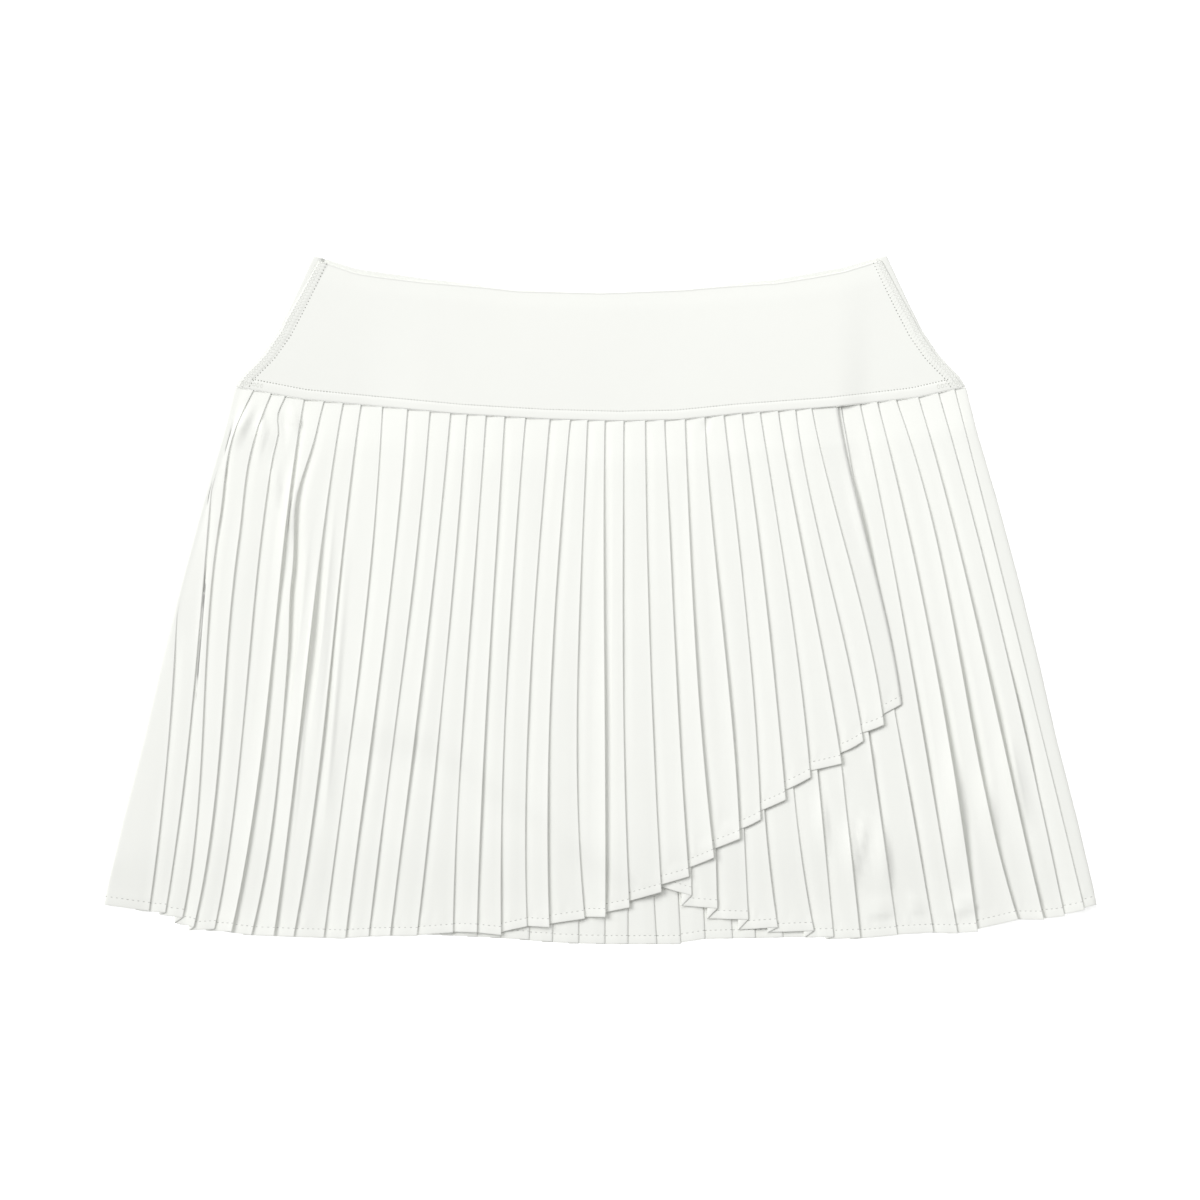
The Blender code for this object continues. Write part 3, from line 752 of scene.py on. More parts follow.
    def lift(self, number: int, y: Grid, share: Grid) -> Grid:
        """How far a fold stands open, with its own unevenness."""
        lift = self.creases[number].lift
        lift = lift * np.sin(0.5 * np.pi * np.minimum(share / LIFT_PEAK, 1.0))
        waver = 0.0 if self.hidden(number) else self.waver
        wave = ripple(OPEN_WAVES, number, y) + OPEN_MORE
        return lift + waver * wave * ease(share / OPEN_LENGTH)

    def hidden(self, number: int) -> bool:
        """Whether a crease lies out of sight under the outer wrap."""
        return self.layer is Layer.UNDERLAP and number < HIDDEN_PLEATS

    def lean(self, number: int, y: Grid, below: Grid) -> Grid:
        """How far the wall under a fold leans out, which sets how dark its edge looks."""
        if number < 0 or self.layer is Layer.BACK:
            return 0.0 * y
        lean = WALL_LEAN + ripple(LEAN_WAVES, number, y)
        slope = PRESS_SLOPE * self.slack(number, y, below) + lean * self.firmness(number, y)
        return np.minimum(slope, LEAN_ROOM * self.width(number + 1, y))

    def section_point(self, kind: str, number: int, y: Grid, below: Grid,
                      share: Grid) -> tuple[Grid, Grid]:
        """Place across the skirt and height above the panel's floor."""
        rise = rise_at(below) - pressed_at(below)
        if kind.startswith("side"):
            return self.side_point(kind, number, y, below)
        if kind == "free":
            return self.line_x(number, y), np.zeros(len(y))
        left = self.line_x(number - 1, y)
        right = self.line_x(number, y)
        margin = np.minimum(SHORE, MARGIN_SHARE * (right - left))
        if kind in ("inner", "shore"):
            slope = self.lean(number - 1, y, below)
            if kind == "inner":
                return left + slope - self.depth(number - 1, y, share), np.zeros(len(y))
            return left + slope + margin, np.zeros(len(y))
        slack = self.slack(number, y, below)
        slope = self.lean(number, y, below)
        depth = self.depth(number, y, share)
        firm = self.firmness(number, y)
        rise = rise * firm
        lift = self.lift(number, y, share) * firm
        high = mix(RETURN_HIGH, SLACK_HIGH, slack)
        if kind == "step":
            return right - depth - margin, rise
        if kind == "brow":
            return right - 0.5 * margin, rise + BROW_LIFT * lift
        if kind == "fold":
            brow = 0.0 if self.layer is Layer.BACK else BROW_HIGH
            return right, rise + lift + brow * firm
        if kind == "under":
            return right + (1.0 - high) * slope, high * rise + lift
        return right + high * slope - depth, (1.0 - high) * rise

    def side_point(self, kind: str, number: int, y: Grid, below: Grid) -> tuple[Grid, Grid]:
        """Points of the rolled side edge, which meets the other panel's half way up."""
        sign = -1.0 if number < 0 else 1.0
        x = self.side_x(y)
        rise = rise_at(below)
        outer = 0.0 * rise
        drop = 0.5 * (PLEAT_WALL + LAYER_GAP + rise - SEAM_GAP)
        if self.layer is Layer.BACK:
            outer = rise - SIDE_CLEAR - pressed_at(below)
        if kind == "side_flat":
            return sign * (x - SIDE_ROUND), outer
        if kind == "side_turn":
            return sign * x, outer - SIDE_KNEE * drop
        return sign * x, outer - drop

    def floor(self, x: Grid, y: Grid, below: Grid) -> Grid:
        """Height of the panel's lowest layer, at the middle of its wall."""
        layers_below = 0.0 if self.layer is Layer.BACK else 1.0
        if self.layer is Layer.OVERLAP:
            layers_below = layers_below + cover(x, y)
        return 0.5 * PLEAT_WALL + layers_below * (PLEAT_WALL + LAYER_GAP + rise_at(below))

    def settled(self, x: Grid, y: Grid, below: Grid) -> Grid:
        """How far the front comes down, towards its lower hem and where it is doubled."""
        down = self.sag(x, y)
        if self.layer is Layer.OVERLAP:
            doubled = pressed_at(below) + REST_DOWN * np.minimum(below / RISE_LENGTH, 1.0)
            down = down + doubled * cover(x, y)
        return down

    def sag(self, x: Grid, y: Grid) -> Grid:
        """How far the front comes down on the back towards its lower hem."""
        inside = ease((self.side_x(y) - np.abs(x)) / SAG_FROM_SIDE)
        return HEM_SAG * inside * ease((SAG_START - y) / SAG_LENGTH)

    def pucker(self, points: Grid) -> Grid:
        """Small uneven waves that the hem's stitches pull up in the cloth above them."""
        up = np.array(self.hem_rows)[:, None]
        x = points[-len(self.hem_rows):, :, 0]
        wander = PUCKER_WANDER * np.sin(PUCKER_WANDERS * x)
        wave = np.sin(PUCKER_TURNS * x + wander + PUCKER_SLANT * up)
        return PUCKER * bell((up - PUCKER_UP) / PUCKER_REACH) * wave

    def rows(self, top: float, foot: float) -> Grid:
        """Heights of one column's points from the seam to the hem."""
        upper = top - np.array(self.top_rows)
        lower = foot + np.array(self.hem_rows)
        middle = np.linspace(top - RISE_LENGTH, lower[0], self.middle_rows)[:-1]
        return np.concatenate([upper, middle, lower])

    def control(self) -> Grid:
        """Corner points of all cross-sections."""
        columns = []
        for kind, number in self.columns:
            top, foot = self.seam_y(kind, number), self.hem_y(kind, number)
            y = self.rows(top, foot)
            below = top - y
            share = np.clip((below - RISE_LENGTH) / (top - RISE_LENGTH - foot), 0.0, 1.0)
            x, height = self.section_point(kind, number, y, below, share)
            x = self.world_x(x)
            z = self.floor(x, y, below)
            if self.layer is Layer.BACK:
                z = z + rise_at(below) - pressed_at(below) - height
                z -= (0.5 * (PLEAT_WALL - PLEAT_CLOTH) - TABLE_GAP) * ease(below / RISE_LENGTH)
            else:
                z = z + height - self.settled(x, y, below)
            columns.append(np.stack([x, y, z], axis=1))
        return np.stack(columns, axis=1)

    def spans(self, stretches: list[tuple[Column, Column]]) -> list[slice]:
        """Fine columns of stretches between two corners, from left to right.

        Args:
            stretches: First and last column of each. Those that the panel hasn't are left out.

        Returns:
            One slice for each stretch.
        """
        ends = []
        for stretch in stretches:
            if all(column in self.columns for column in stretch):
                ends.append(sorted(self.starts[self.columns.index(column)] for column in stretch))
        return [slice(first, last + 1) for first, last in sorted(ends)]

    def roll(self, points: Grid, number: int) -> Grid:
        """How far one pleat sinks beside the fold before it."""
        x, y = points[..., 0], points[..., 1]
        from_fold = np.maximum(x - self.line_x(number - 1, y), 0.0)
        deep = ROLL + ripple(ROLL_WAVES, number, y)
        deep = deep * self.firmness(number - 1, y) * ease((WAIST_SEAM[0].y - y) / ROLL_LENGTH)
        near = bell(from_fold / ROLL_WIDE)
        deep = deep * near
        for trough in self.troughs:
            if trough.crease == number - 1:
                shape = bell(from_fold / trough.wide) * bell((y - trough.y) / trough.reach)
                deep = deep + trough.deep * shape * np.minimum(near / TROUGH_FADE, 1.0)
        return deep

    def hollowed(self, points: Grid) -> Grid:
        """The cross-sections with the panel's rolls, troughs and dents."""
        points = points.copy()
        if self.layer is not Layer.BACK:
            for number in range(1, len(self.creases)):
                for facet in self.spans([(("inner", number), ("step", number))]):
                    part = points[:, facet]
                    deepest = DEEPEST - self.sag(part[..., 0], part[..., 1])
                    if self.layer is Layer.OVERLAP:
                        doubled = cover(part[..., 0], part[..., 1])
                        deepest = np.minimum(deepest, mix(DEEPEST, DEEPEST_DOUBLED, doubled))
                    part[..., 2] -= np.minimum(self.roll(part, number), deepest)
            points[-len(self.hem_rows):, :, 2] += self.pucker(points)
        for dent in self.dents:
            turn = np.radians(dent.turn)
            right = points[..., 0] - dent.x
            up = points[..., 1] - dent.y
            along = (right * np.cos(turn) + up * np.sin(turn)) / dent.along
            across = (up * np.cos(turn) - right * np.sin(turn)) / dent.across
            points[..., 2] += dent.height * bell(np.hypot(along, across))
        return points

    def halves(self, rows: int, columns: int) -> Grid:
        """Half thickness, with a rounded edge and a thicker, stitched hem."""
        up = np.full(rows, ENDLESS)
        up[-len(self.hem_rows):] = self.hem_rows
        turned = 1.0 + HEM_THICKER * (1.0 - ease((up - HEM_TURN) / HEM_THINS + 0.5))
        stitched = 1.0 - STITCH_PRESS * bell((up - HEM_TURN) / STITCH_REACH)
        half = 0.5 * PLEAT_CLOTH * turned * stitched * edge_left(up, EDGE_ROUND)
        return np.repeat(half[:, None], columns, axis=1)

    def build(self) -> bpy.types.Object:
        """Make the pressed cloth of the panel.

        Returns:
            The new object, without a material.
        """
        points, self.starts = rounded(self.control(), [CORNERS[kind] for kind, _ in self.columns])
        self.surface = self.hollowed(points)
        halves = self.halves(*self.surface.shape[:2])
        return shell_mesh(self.name, self.surface, halves)

    def hem_paths(self) -> list[Grid]:
        """Lines along the hem stitching, one for each stretch that shows."""
        row = self.surface.shape[0] - len(self.hem_rows) + self.hem_rows.index(HEM_TURN)
        stretches = [(("side_flat", -1), ("brow", 0))]
        for number in range(len(self.creases) + 1):
            for end in ("brow", "side_flat", "free"):
                stretches.append((("inner", number), (end, number)))
        over = [0.0, 0.0, STITCH_OVER * PLEAT_CLOTH]
        return [self.surface[row, span] + over for span in self.spans(stretches)]


def on_row(row: Grid, x: Value) -> Grid:
    """Points on top of one row of the knit's front."""
    y, z = (np.interp(x, row[:, 0], row[:, axis]) for axis in (1, 2))
    return np.stack([x, y, z + 0.5 * YOKE_CLOTH], axis=-1)


@dataclass
class Yoke:
    """The smooth knit yoke: a front, and a back that rolls forward at both sides."""

    top_corner: float = 200.0
    seam_corner: float = 124.0
    # The front's side edge lies this far inside the outline at these shares of the height
    heights: tuple[float, ...] = (0.0, 0.45, 1.0)
    insets: tuple[float, ...] = (3.2, 1.3, 1.9)
    # The back reaches this far under it, rolled over with bends at a share of its height
    under: float = 3.0
    under_gap: float = 0.15
    knee: float = 0.17
    tight: float = 0.7
    wide: float = 1.2
    # The front's waist edge dips beside its corners, with a soft groove below it
    front_dip: float = 1.4
    dip_place: float = 0.78
    dip_reach: float = 0.42
    edge_groove: float = 0.4
    groove_from: float = 0.25
    groove_to: float = 1.1
    groove_fades: float = 9.0
    # The seam allowance raises a band along the sides and the waist seam
    ridge: float = 0.3
    band: float = 5.6
    band_slope: float = 1.6
    slope_shift: float = 0.25
    band_groove: float = 0.35
    band_groove_wide: float = 0.9
    # The stitches leave out a few columns and rows at their ends, and cross the side seams' feet
    waist_columns_left: int = 2
    seam_from_row: int = 2
    seam_rows_left: int = 3
    end_width: float = 11.0
    end_inset: float = 1.2
    end_points: int = 8
    # Unevenness of the knit
    uneven: float = 0.12
    waves: tuple[KnitWave, ...] = (KnitWave(1.0, 37.0, 23.0, 0.0),
                                   KnitWave(0.7, 19.0, -31.0, 1.3))
    # Rows and columns of points, by their distance from an edge or by their number
    edge_rows: tuple[float, ...] = (0.0, 0.25, 0.5, 0.8, 1.1, 1.5)
    side_columns: tuple[float, ...] = (3.0, 4.4, 5.2, 5.8, 6.6)
    band_rows: tuple[float, ...] = (8.6, 7.4, 6.6, 6.1, 5.6, 5.1, 4.2, 3.0, 1.6, 0.7, 0.25, 0.0)
    middle_rows: int = 26
    columns: int = 150
    back_columns: int = 90
    front: Grid = field(init=False)
    back: Grid = field(init=False)

    def side(self, share: Value) -> Value:
        """Half width of the outline at a share of the way from waist to seam."""
        return half_width(mix(self.top_corner, self.seam_corner, share))

    def side_inset(self, share: Value) -> Value:
        """Distance from the outline to the front's side edge, which lies on the back's."""
        return np.interp(share, self.heights, self.insets)

    def point_y(self, across: Grid, share: Value, rise: Value) -> Grid:
        """Height of a point of the yoke, rise being how much its waist edge is raised."""
        top = curve_y(WAIST_EDGE, across * self.side(0.0)) + rise
        seam = curve_y(WAIST_SEAM, across * self.side(1.0)) + 0.5 * SEAM_GAP
        return mix(top, seam, share)

    def dip(self, across: Grid) -> Grid:
        """How much lower the front's waist edge hangs beside its corners."""
        return -self.front_dip * bell((np.abs(across) - self.dip_place) / self.dip_reach)

    def seam_height(self, x: Grid) -> Grid:
        """Height of the front's wall where it meets the pleats."""
        layers = 1.0 + cover(x, curve_y(WAIST_SEAM, x))
        beyond = 2.0 - ease((x - OVERLAP[-1].waist) / FREE_EDGE_SINK)
        layers = np.where(x > OVERLAP[-1].waist, beyond, layers)
        stack = layers * (PLEAT_WALL + LAYER_GAP + RISE_AT_SEAM) + PLEAT_WALL + RISE_AT_SEAM
        return stack - 0.5 * YOKE_WALL + YOKE_COVERS

    def height(self, x: Grid, share: Value) -> Grid:
        """Height of the front's wall between the waist edge and the seam."""
        return mix(1.5 * YOKE_WALL + LAYER_GAP, self.seam_height(x), share)

    def shares(self) -> Grid:
        """Where the cross-sections lie between the waist edge and the seam."""
        length = self.top_corner - self.seam_corner
        upper = np.array(self.edge_rows) / length
        lower = 1.0 - np.array(self.band_rows) / length
        middle = np.linspace(upper[-1], lower[0], self.middle_rows)[1:-1]
        return np.concatenate([upper, middle, lower])

    def places(self, half: float) -> Grid:
        """Columns of the front, close together at its side edges."""
        edge = np.array(self.edge_rows + self.side_columns)
        middle = np.linspace(edge[-1] - half, half - edge[-1], self.columns)[1:-1]
        return np.concatenate([edge - half, middle, (half - edge)[::-1]])

    def band_rise(self, away: Grid) -> Grid:
        """Height of the seam allowance over the cloth beside it."""
        groove = self.band_groove * bell((away - self.band) / self.band_groove_wide)
        slope = ease((away - self.band) / self.band_slope + self.slope_shift)
        return self.ridge * (1.0 - slope) - groove

    def groove(self, down: float) -> float:
        """How far the cloth drops just below its waist edge, to come up again slowly."""
        fallen = ease((down - self.groove_from) / (self.groove_to - self.groove_from))
        risen = ease((down - self.groove_to) / self.groove_fades)
        return self.edge_groove * fallen * (1.0 - risen)

    def sag(self, x: Grid, y: Grid) -> Grid:
        """Faint unevenness of the knit, as two crossing waves."""
        return self.uneven * sum(
            wave.share * np.sin(x / wave.across + y / wave.along + wave.start)
            for wave in self.waves)

    def build_front(self) -> bpy.types.Object:
        """Make the front of the yoke with its side and waist seam bands."""
        shares = self.shares()
        rows, halves = [], []
        for share in shares:
            edge = float(self.side(share) - self.side_inset(share))
            x = self.places(edge)
            across = x / self.side(share)
            y = self.point_y(across, share, self.dip(across))
            up = (1.0 - share) * (self.top_corner - self.seam_corner)
            down = share * (self.top_corner - self.seam_corner)
            in_side = edge - np.abs(x)
            rise = np.maximum(self.band_rise(np.full(len(x), up)), self.band_rise(in_side))
            z = self.height(x, share) + rise + self.sag(x, y)
            z -= self.groove(down) * ease((in_side - self.under) / self.under)
            rows.append(np.stack([x, y, z], axis=1))
            away = np.minimum(np.minimum(in_side, down), up)
            halves.append(0.5 * YOKE_CLOTH * edge_left(away, KNIT_ROUND))
        self.front = np.stack(rows)
        return shell_mesh("yoke_front_knit", self.front, np.stack(halves))

    def build_back(self) -> bpy.types.Object:
        """Make the back of the yoke, rolled forward to its side seams."""
        rows = []
        shares = self.shares()
        for share in shares:
            outer = float(self.side(share))
            turn = outer - 0.5 * YOKE_CLOTH
            flat = turn - SIDE_ROUND
            inner = outer - float(self.side_inset(share)) - self.under
            lowest = 0.5 * YOKE_CLOTH + TABLE_GAP
            top = float(self.height(np.array([outer]), share)[0]) - YOKE_CLOTH - self.under_gap
            knee = self.knee * (top - lowest)
            wrap = [(-inner, top), (-flat, top), (-turn, top - knee), (-turn, lowest + knee)]
            base = [(x, lowest) for x in np.linspace(-flat, flat, self.back_columns)]
            section = wrap + base + [(-x, z) for x, z in reversed(wrap)]
            x = np.array([point[0] for point in section])
            z = np.array([point[1] for point in section])
            across = x / outer
            rise = BACK_EDGE_SHOWS * ease(np.abs(across) / BACK_EDGE_FROM)
            rows.append(np.stack([x, self.point_y(across, share, rise), z], axis=1))
        sharp, bend, foot = Corner(0.0, 1), Corner(self.tight, 3), Corner(self.wide, 3)
        wraps = [sharp, Corner(self.wide, 4), bend, bend]
        base = [foot] + [sharp] * (self.back_columns - 2) + [foot]
        self.back, _ = rounded(np.stack(rows), wraps + base + wraps[::-1])
        up = (1.0 - shares) * (self.top_corner - self.seam_corner)
        down = shares * (self.top_corner - self.seam_corner)
        half = 0.5 * YOKE_CLOTH * edge_left(np.minimum(up, down), KNIT_ROUND)
        halves = np.repeat(half[:, None], self.back.shape[1], axis=1)
        return shell_mesh("yoke_back_knit", self.back, halves)

    def band_row(self, away: float) -> Grid:
        """The front's points at a height above the waist seam that is one of the band's rows."""
        return self.front[self.band_rows.index(away) - len(self.band_rows)]

    def waist_stitching(self) -> list[Grid]:
        """The line of stitches along the top of the waist seam band."""
        ends = len(self.edge_rows) + self.waist_columns_left
        row = self.band_row(self.band)[ends:-ends]
        return [row + [0.0, 0.0, 0.5 * YOKE_CLOTH + THREAD_OVER]]

    def side_seams(self, away: tuple[float, ...]) -> list[Grid]:
        """Lines down both side seams, at distances from the outline at the named heights."""
        rows = list(zip(self.shares(), self.front))[self.seam_from_row:-self.seam_rows_left]
        lines = []
        for sign in (-1.0, 1.0):
            line = []
            for share, row in rows:
                x = sign * (self.side(share) - np.interp(share, self.heights, away))
                line.append(on_row(row, x))
            lines.append(np.array(line))
        return lines

    def seam_ends(self, away: float) -> list[Grid]:
        """Short lines across the feet of both side seams, at a distance above the waist seam."""
        row = self.band_row(away)
        edge = row[-1, 0] - self.end_inset
        x = np.linspace(edge, edge - self.end_width, self.end_points)
        return [on_row(row, -x), on_row(row, x)]


class Stitch(Enum):
    """Kinds of stitching: pitch, length, width, thickness, turn in degrees, and if it loops."""

    HEM = (2.9, 1.5, 0.42, 0.3, 0.0, False)
    TOP = (1.75, 0.85, 0.75, 0.3, 0.0, False)
    NEEDLE = (2.0, 0.9, 0.7, 0.4, 0.0, False)
    RUNG = (1.9, 2.6, 0.26, 0.16, 72.0, False)
    LOOP = (2.1, 1.9, 2.6, 1.1, 0.0, True)


@dataclass
class StitchRun:
    """Stitches of one kind along lines on one piece."""

    name: str
    kind: Stitch
    paths: list[Grid]
    thread: bpy.types.Material

    def build(self) -> bpy.types.Object:
        """Make the stitches.

        Returns:
            One plain mesh with every stitch in it.
        """
        line = bpy.data.meshes.new(self.name + "_line")
        points, edges = [], []
        for path in self.paths:
            first = len(points)
            points += (path * MM).tolist()
            edges += [(first + step, first + step + 1) for step in range(len(path) - 1)]
        line.from_pydata(points, edges, [])
        guide = keep(self.name + "_guide", line)
        modifier = guide.modifiers.new("stitches", "NODES")
        modifier.node_group = stitch_tree(self.thread)
        pitch, length, width, thick, turn, loops = self.kind.value
        sizes = {"Pitch": pitch * MM, "Length": length * MM, "Width": width * MM,
                 "Thickness": thick * MM, "Turn": float(np.radians(turn)), "Loops": loops}
        for item in modifier.node_group.interface.items_tree:
            if item.item_type == "SOCKET" and item.name in sizes:
                modifier[item.identifier] = sizes[item.name]
        bpy.context.view_layer.update()
        graph = bpy.context.evaluated_depsgraph_get()
        mesh = bpy.data.meshes.new_from_object(guide.evaluated_get(graph))
        mesh.name = self.name
        bpy.data.objects.remove(guide, do_unlink=True)
        return keep(self.name, mesh)


def add_sockets(tree: bpy.types.NodeTree, direction: str, **kinds: str) -> None:
    """Give a node group its named sockets.

    Args:
        tree: The node group.
        direction: INPUT or OUTPUT.
        kinds: Kind of each socket, by its name.
    """
    for name, kind in kinds.items():
        tree.interface.new_socket(name, in_out=direction, socket_type="NodeSocket" + kind)


def set_inputs(node: bpy.types.Node, **values: object) -> None:
    """Set named inputs of a node, with _ for each space in a name."""
    for name, value in values.items():
        node.inputs[name.replace("_", " ")].default_value = value


def add_node(tree: bpy.types.NodeTree, kind: str, **values: object) -> bpy.types.Node:
    """Make a node and set its named inputs."""
    node = tree.nodes.new(kind)
    set_inputs(node, **values)
    return node


def add_math(tree: bpy.types.NodeTree, operation: str, *inputs: object) -> bpy.types.NodeSocket:
    """Make a math node.

    Args:
        tree: Tree that it is made in.
        operation: What it works out.
        inputs: A number or another node's output for each of its inputs.

    Returns:
        Its output.
    """
    node = tree.nodes.new("ShaderNodeMath")
    node.operation = operation
    for socket, value in zip(node.inputs, inputs):
        if isinstance(value, bpy.types.NodeSocket):
            tree.links.new(value, socket)
        else:
            socket.default_value = value
    return node.outputs[0]


def stitch_tree(thread: bpy.types.Material) -> bpy.types.NodeTree:
    """Geometry nodes that lay one stitch after another along the edges of a mesh."""
    name = thread.name + "_stitches"
    found = bpy.data.node_groups.get(name)
    if found is not None:
        return found
    tree = bpy.data.node_groups.new(name, "GeometryNodeTree")
    add_sockets(tree, "INPUT", Geometry="Geometry", Pitch="Float", Length="Float", Width="Float",
                Thickness="Float", Turn="Float", Loops="Bool")
    add_sockets(tree, "OUTPUT", Geometry="Geometry")
    start, end = add_node(tree, "NodeGroupInput"), add_node(tree, "NodeGroupOutput")
    curve = add_node(tree, "GeometryNodeMeshToCurve")
    normal = add_node(tree, "GeometryNodeSetCurveNormal")
    normal.mode = "Z_UP"
    spots = add_node(tree, "GeometryNodeCurveToPoints")
    spots.mode = "LENGTH"
    stitch = add_node(tree, "GeometryNodeMeshUVSphere", Segments=6, Rings=4, Radius=0.5)
    ring = add_node(tree, "GeometryNodeCurvePrimitiveCircle", Resolution=10, Radius=0.4)
    strand = add_node(tree, "GeometryNodeCurvePrimitiveCircle", Resolution=5, Radius=0.1)
    looped = add_node(tree, "GeometryNodeCurveToMesh")
    laid = add_node(tree, "GeometryNodeTransform", Rotation=(0.5 * np.pi, 0.0, 0.0))
    chosen = add_node(tree, "GeometryNodeSwitch")
    chosen.input_type = "GEOMETRY"
    size = add_node(tree, "ShaderNodeCombineXYZ")
    shape = add_node(tree, "GeometryNodeTransform")
    turn = add_node(tree, "ShaderNodeCombineXYZ")
    turned = add_node(tree, "GeometryNodeTransform")
    wobble = add_node(tree, "FunctionNodeRandomValue")
    wobble.data_type = "FLOAT_VECTOR"
    set_inputs(wobble, Min=(0.85, 0.85, 0.75), Max=(1.15, 1.15, 1.1), Seed=7)
    place = add_node(tree, "GeometryNodeInstanceOnPoints")
    real = add_node(tree, "GeometryNodeRealizeInstances")
    smooth = add_node(tree, "GeometryNodeSetShadeSmooth")
    paint = add_node(tree, "GeometryNodeSetMaterial", Material=thread)
    for source, output, target, socket in (
        (start, "Geometry", curve, "Mesh"),
        (curve, "Curve", normal, "Curve"),
        (normal, "Curve", spots, "Curve"),
        (start, "Pitch", spots, "Length"),
        (start, "Width", size, "X"),
        (start, "Thickness", size, "Y"),
        (start, "Length", size, "Z"),
        (ring, "Curve", looped, "Curve"),
        (strand, "Curve", looped, "Profile Curve"),
        (looped, "Mesh", laid, "Geometry"),
        (start, "Loops", chosen, "Switch"),
        (stitch, "Mesh", chosen, "False"),
        (laid, "Geometry", chosen, "True"),
        (chosen, "Output", shape, "Geometry"),
        (size, "Vector", shape, "Scale"),
        (start, "Turn", turn, "Y"),
        (shape, "Geometry", turned, "Geometry"),
        (turn, "Vector", turned, "Rotation"),
        (spots, "Points", place, "Points"),
        (turned, "Geometry", place, "Instance"),
        (spots, "Rotation", place, "Rotation"),
        (wobble, "Value", place, "Scale"),
        (place, "Instances", real, "Geometry"),
        (real, "Geometry", smooth, "Geometry"),
        (smooth, "Geometry", paint, "Geometry"),
        (paint, "Geometry", end, "Geometry"),
    ):
        tree.links.new(source.outputs[output], target.inputs[socket])
    return tree


def weave_group() -> bpy.types.NodeTree:
    """Shader nodes for crossing threads on the piece's own UV map."""
    group = bpy.data.node_groups.new("threads", "ShaderNodeTree")
    add_sockets(group, "INPUT", Vector="Vector", Across="Float", Along="Float")
    add_sockets(group, "OUTPUT", Height="Float")
    start, end = add_node(group, "NodeGroupInput"), add_node(group, "NodeGroupOutput")
    split = add_node(group, "ShaderNodeSeparateXYZ")
    group.links.new(start.outputs["Vector"], split.inputs["Vector"])
    waves = []
    for axis, pitch in (("X", "Across"), ("Y", "Along")):
        count = add_math(group, "DIVIDE", split.outputs[axis], start.outputs[pitch])
        turn = add_math(group, "MULTIPLY", count, 2.0 * np.pi)
        waves.append(add_math(group, "SINE", turn))
    height = add_math(group, "MULTIPLY_ADD", waves[0], waves[1], 0.5)
    group.links.new(height, end.inputs["Height"])
    return group


def tone_group() -> bpy.types.NodeTree:
    """Shader nodes for the faint, broad unevenness of white cloth."""
    group = bpy.data.node_groups.new("uneven_tone", "ShaderNodeTree")
    add_sockets(group, "INPUT", Vector="Vector", Light="Color", Dark="Color", Scale="Float")
    add_sockets(group, "OUTPUT", Color="Color")
    start, end = add_node(group, "NodeGroupInput"), add_node(group, "NodeGroupOutput")
    noise = add_node(group, "ShaderNodeTexNoise", Detail=3.0)
    blend = add_node(group, "ShaderNodeMix")
    blend.data_type = "RGBA"
    for source, output, target, socket in (
        (start, "Vector", noise, "Vector"),
        (start, "Scale", noise, "Scale"),
        (noise, "Fac", blend, "Factor"),
        (start, "Dark", blend, "A"),
        (start, "Light", blend, "B"),
        (blend, "Result", end, "Color"),
    ):
        group.links.new(source.outputs[output], target.inputs[socket])
    return group


@dataclass(frozen=True)
class ClothFinish:
    """Look of one white cloth or thread. The grey of the stitch threads is painted shade."""

    name: str
    light: Colour
    dark: Colour
    roughness: float
    sheen: float
    across: float
    along: float
    relief: float
    tone_scale: float = 60.0

    def make(self, threads: bpy.types.NodeTree, tone: bpy.types.NodeTree) -> bpy.types.Material:
        """Build the material.

        Args:
            threads: Node group of crossing threads.
            tone: Node group of uneven tone.

        Returns:
            The new material.
        """
        material = bpy.data.materials.new(self.name)
        material.use_nodes = True
        tree = material.node_tree
        shader = tree.nodes["Principled BSDF"]
        set_inputs(shader, Roughness=self.roughness, Sheen_Weight=self.sheen,
                   Sheen_Roughness=0.5, Specular_IOR_Level=0.3)
        place = add_node(tree, "ShaderNodeTexCoord")
        colour = add_node(tree, "ShaderNodeGroup")
        colour.node_tree = tone
        set_inputs(colour, Light=self.light, Dark=self.dark, Scale=self.tone_scale)
        cloth = add_node(tree, "ShaderNodeUVMap")
        cloth.uv_map = "cloth"
        weave = add_node(tree, "ShaderNodeGroup")
        weave.node_tree = threads
        set_inputs(weave, Across=self.across * MM, Along=self.along * MM)
        bump = add_node(tree, "ShaderNodeBump", Strength=self.relief, Distance=THREAD_RELIEF * MM)
        for source, output, target, socket in (
            (place, "Object", colour, "Vector"),
            (colour, "Color", shader, "Base Color"),
            (cloth, "UV", weave, "Vector"),
            (weave, "Height", bump, "Height"),
            (bump, "Normal", shader, "Normal"),
        ):
            tree.links.new(source.outputs[output], target.inputs[socket])
        return material


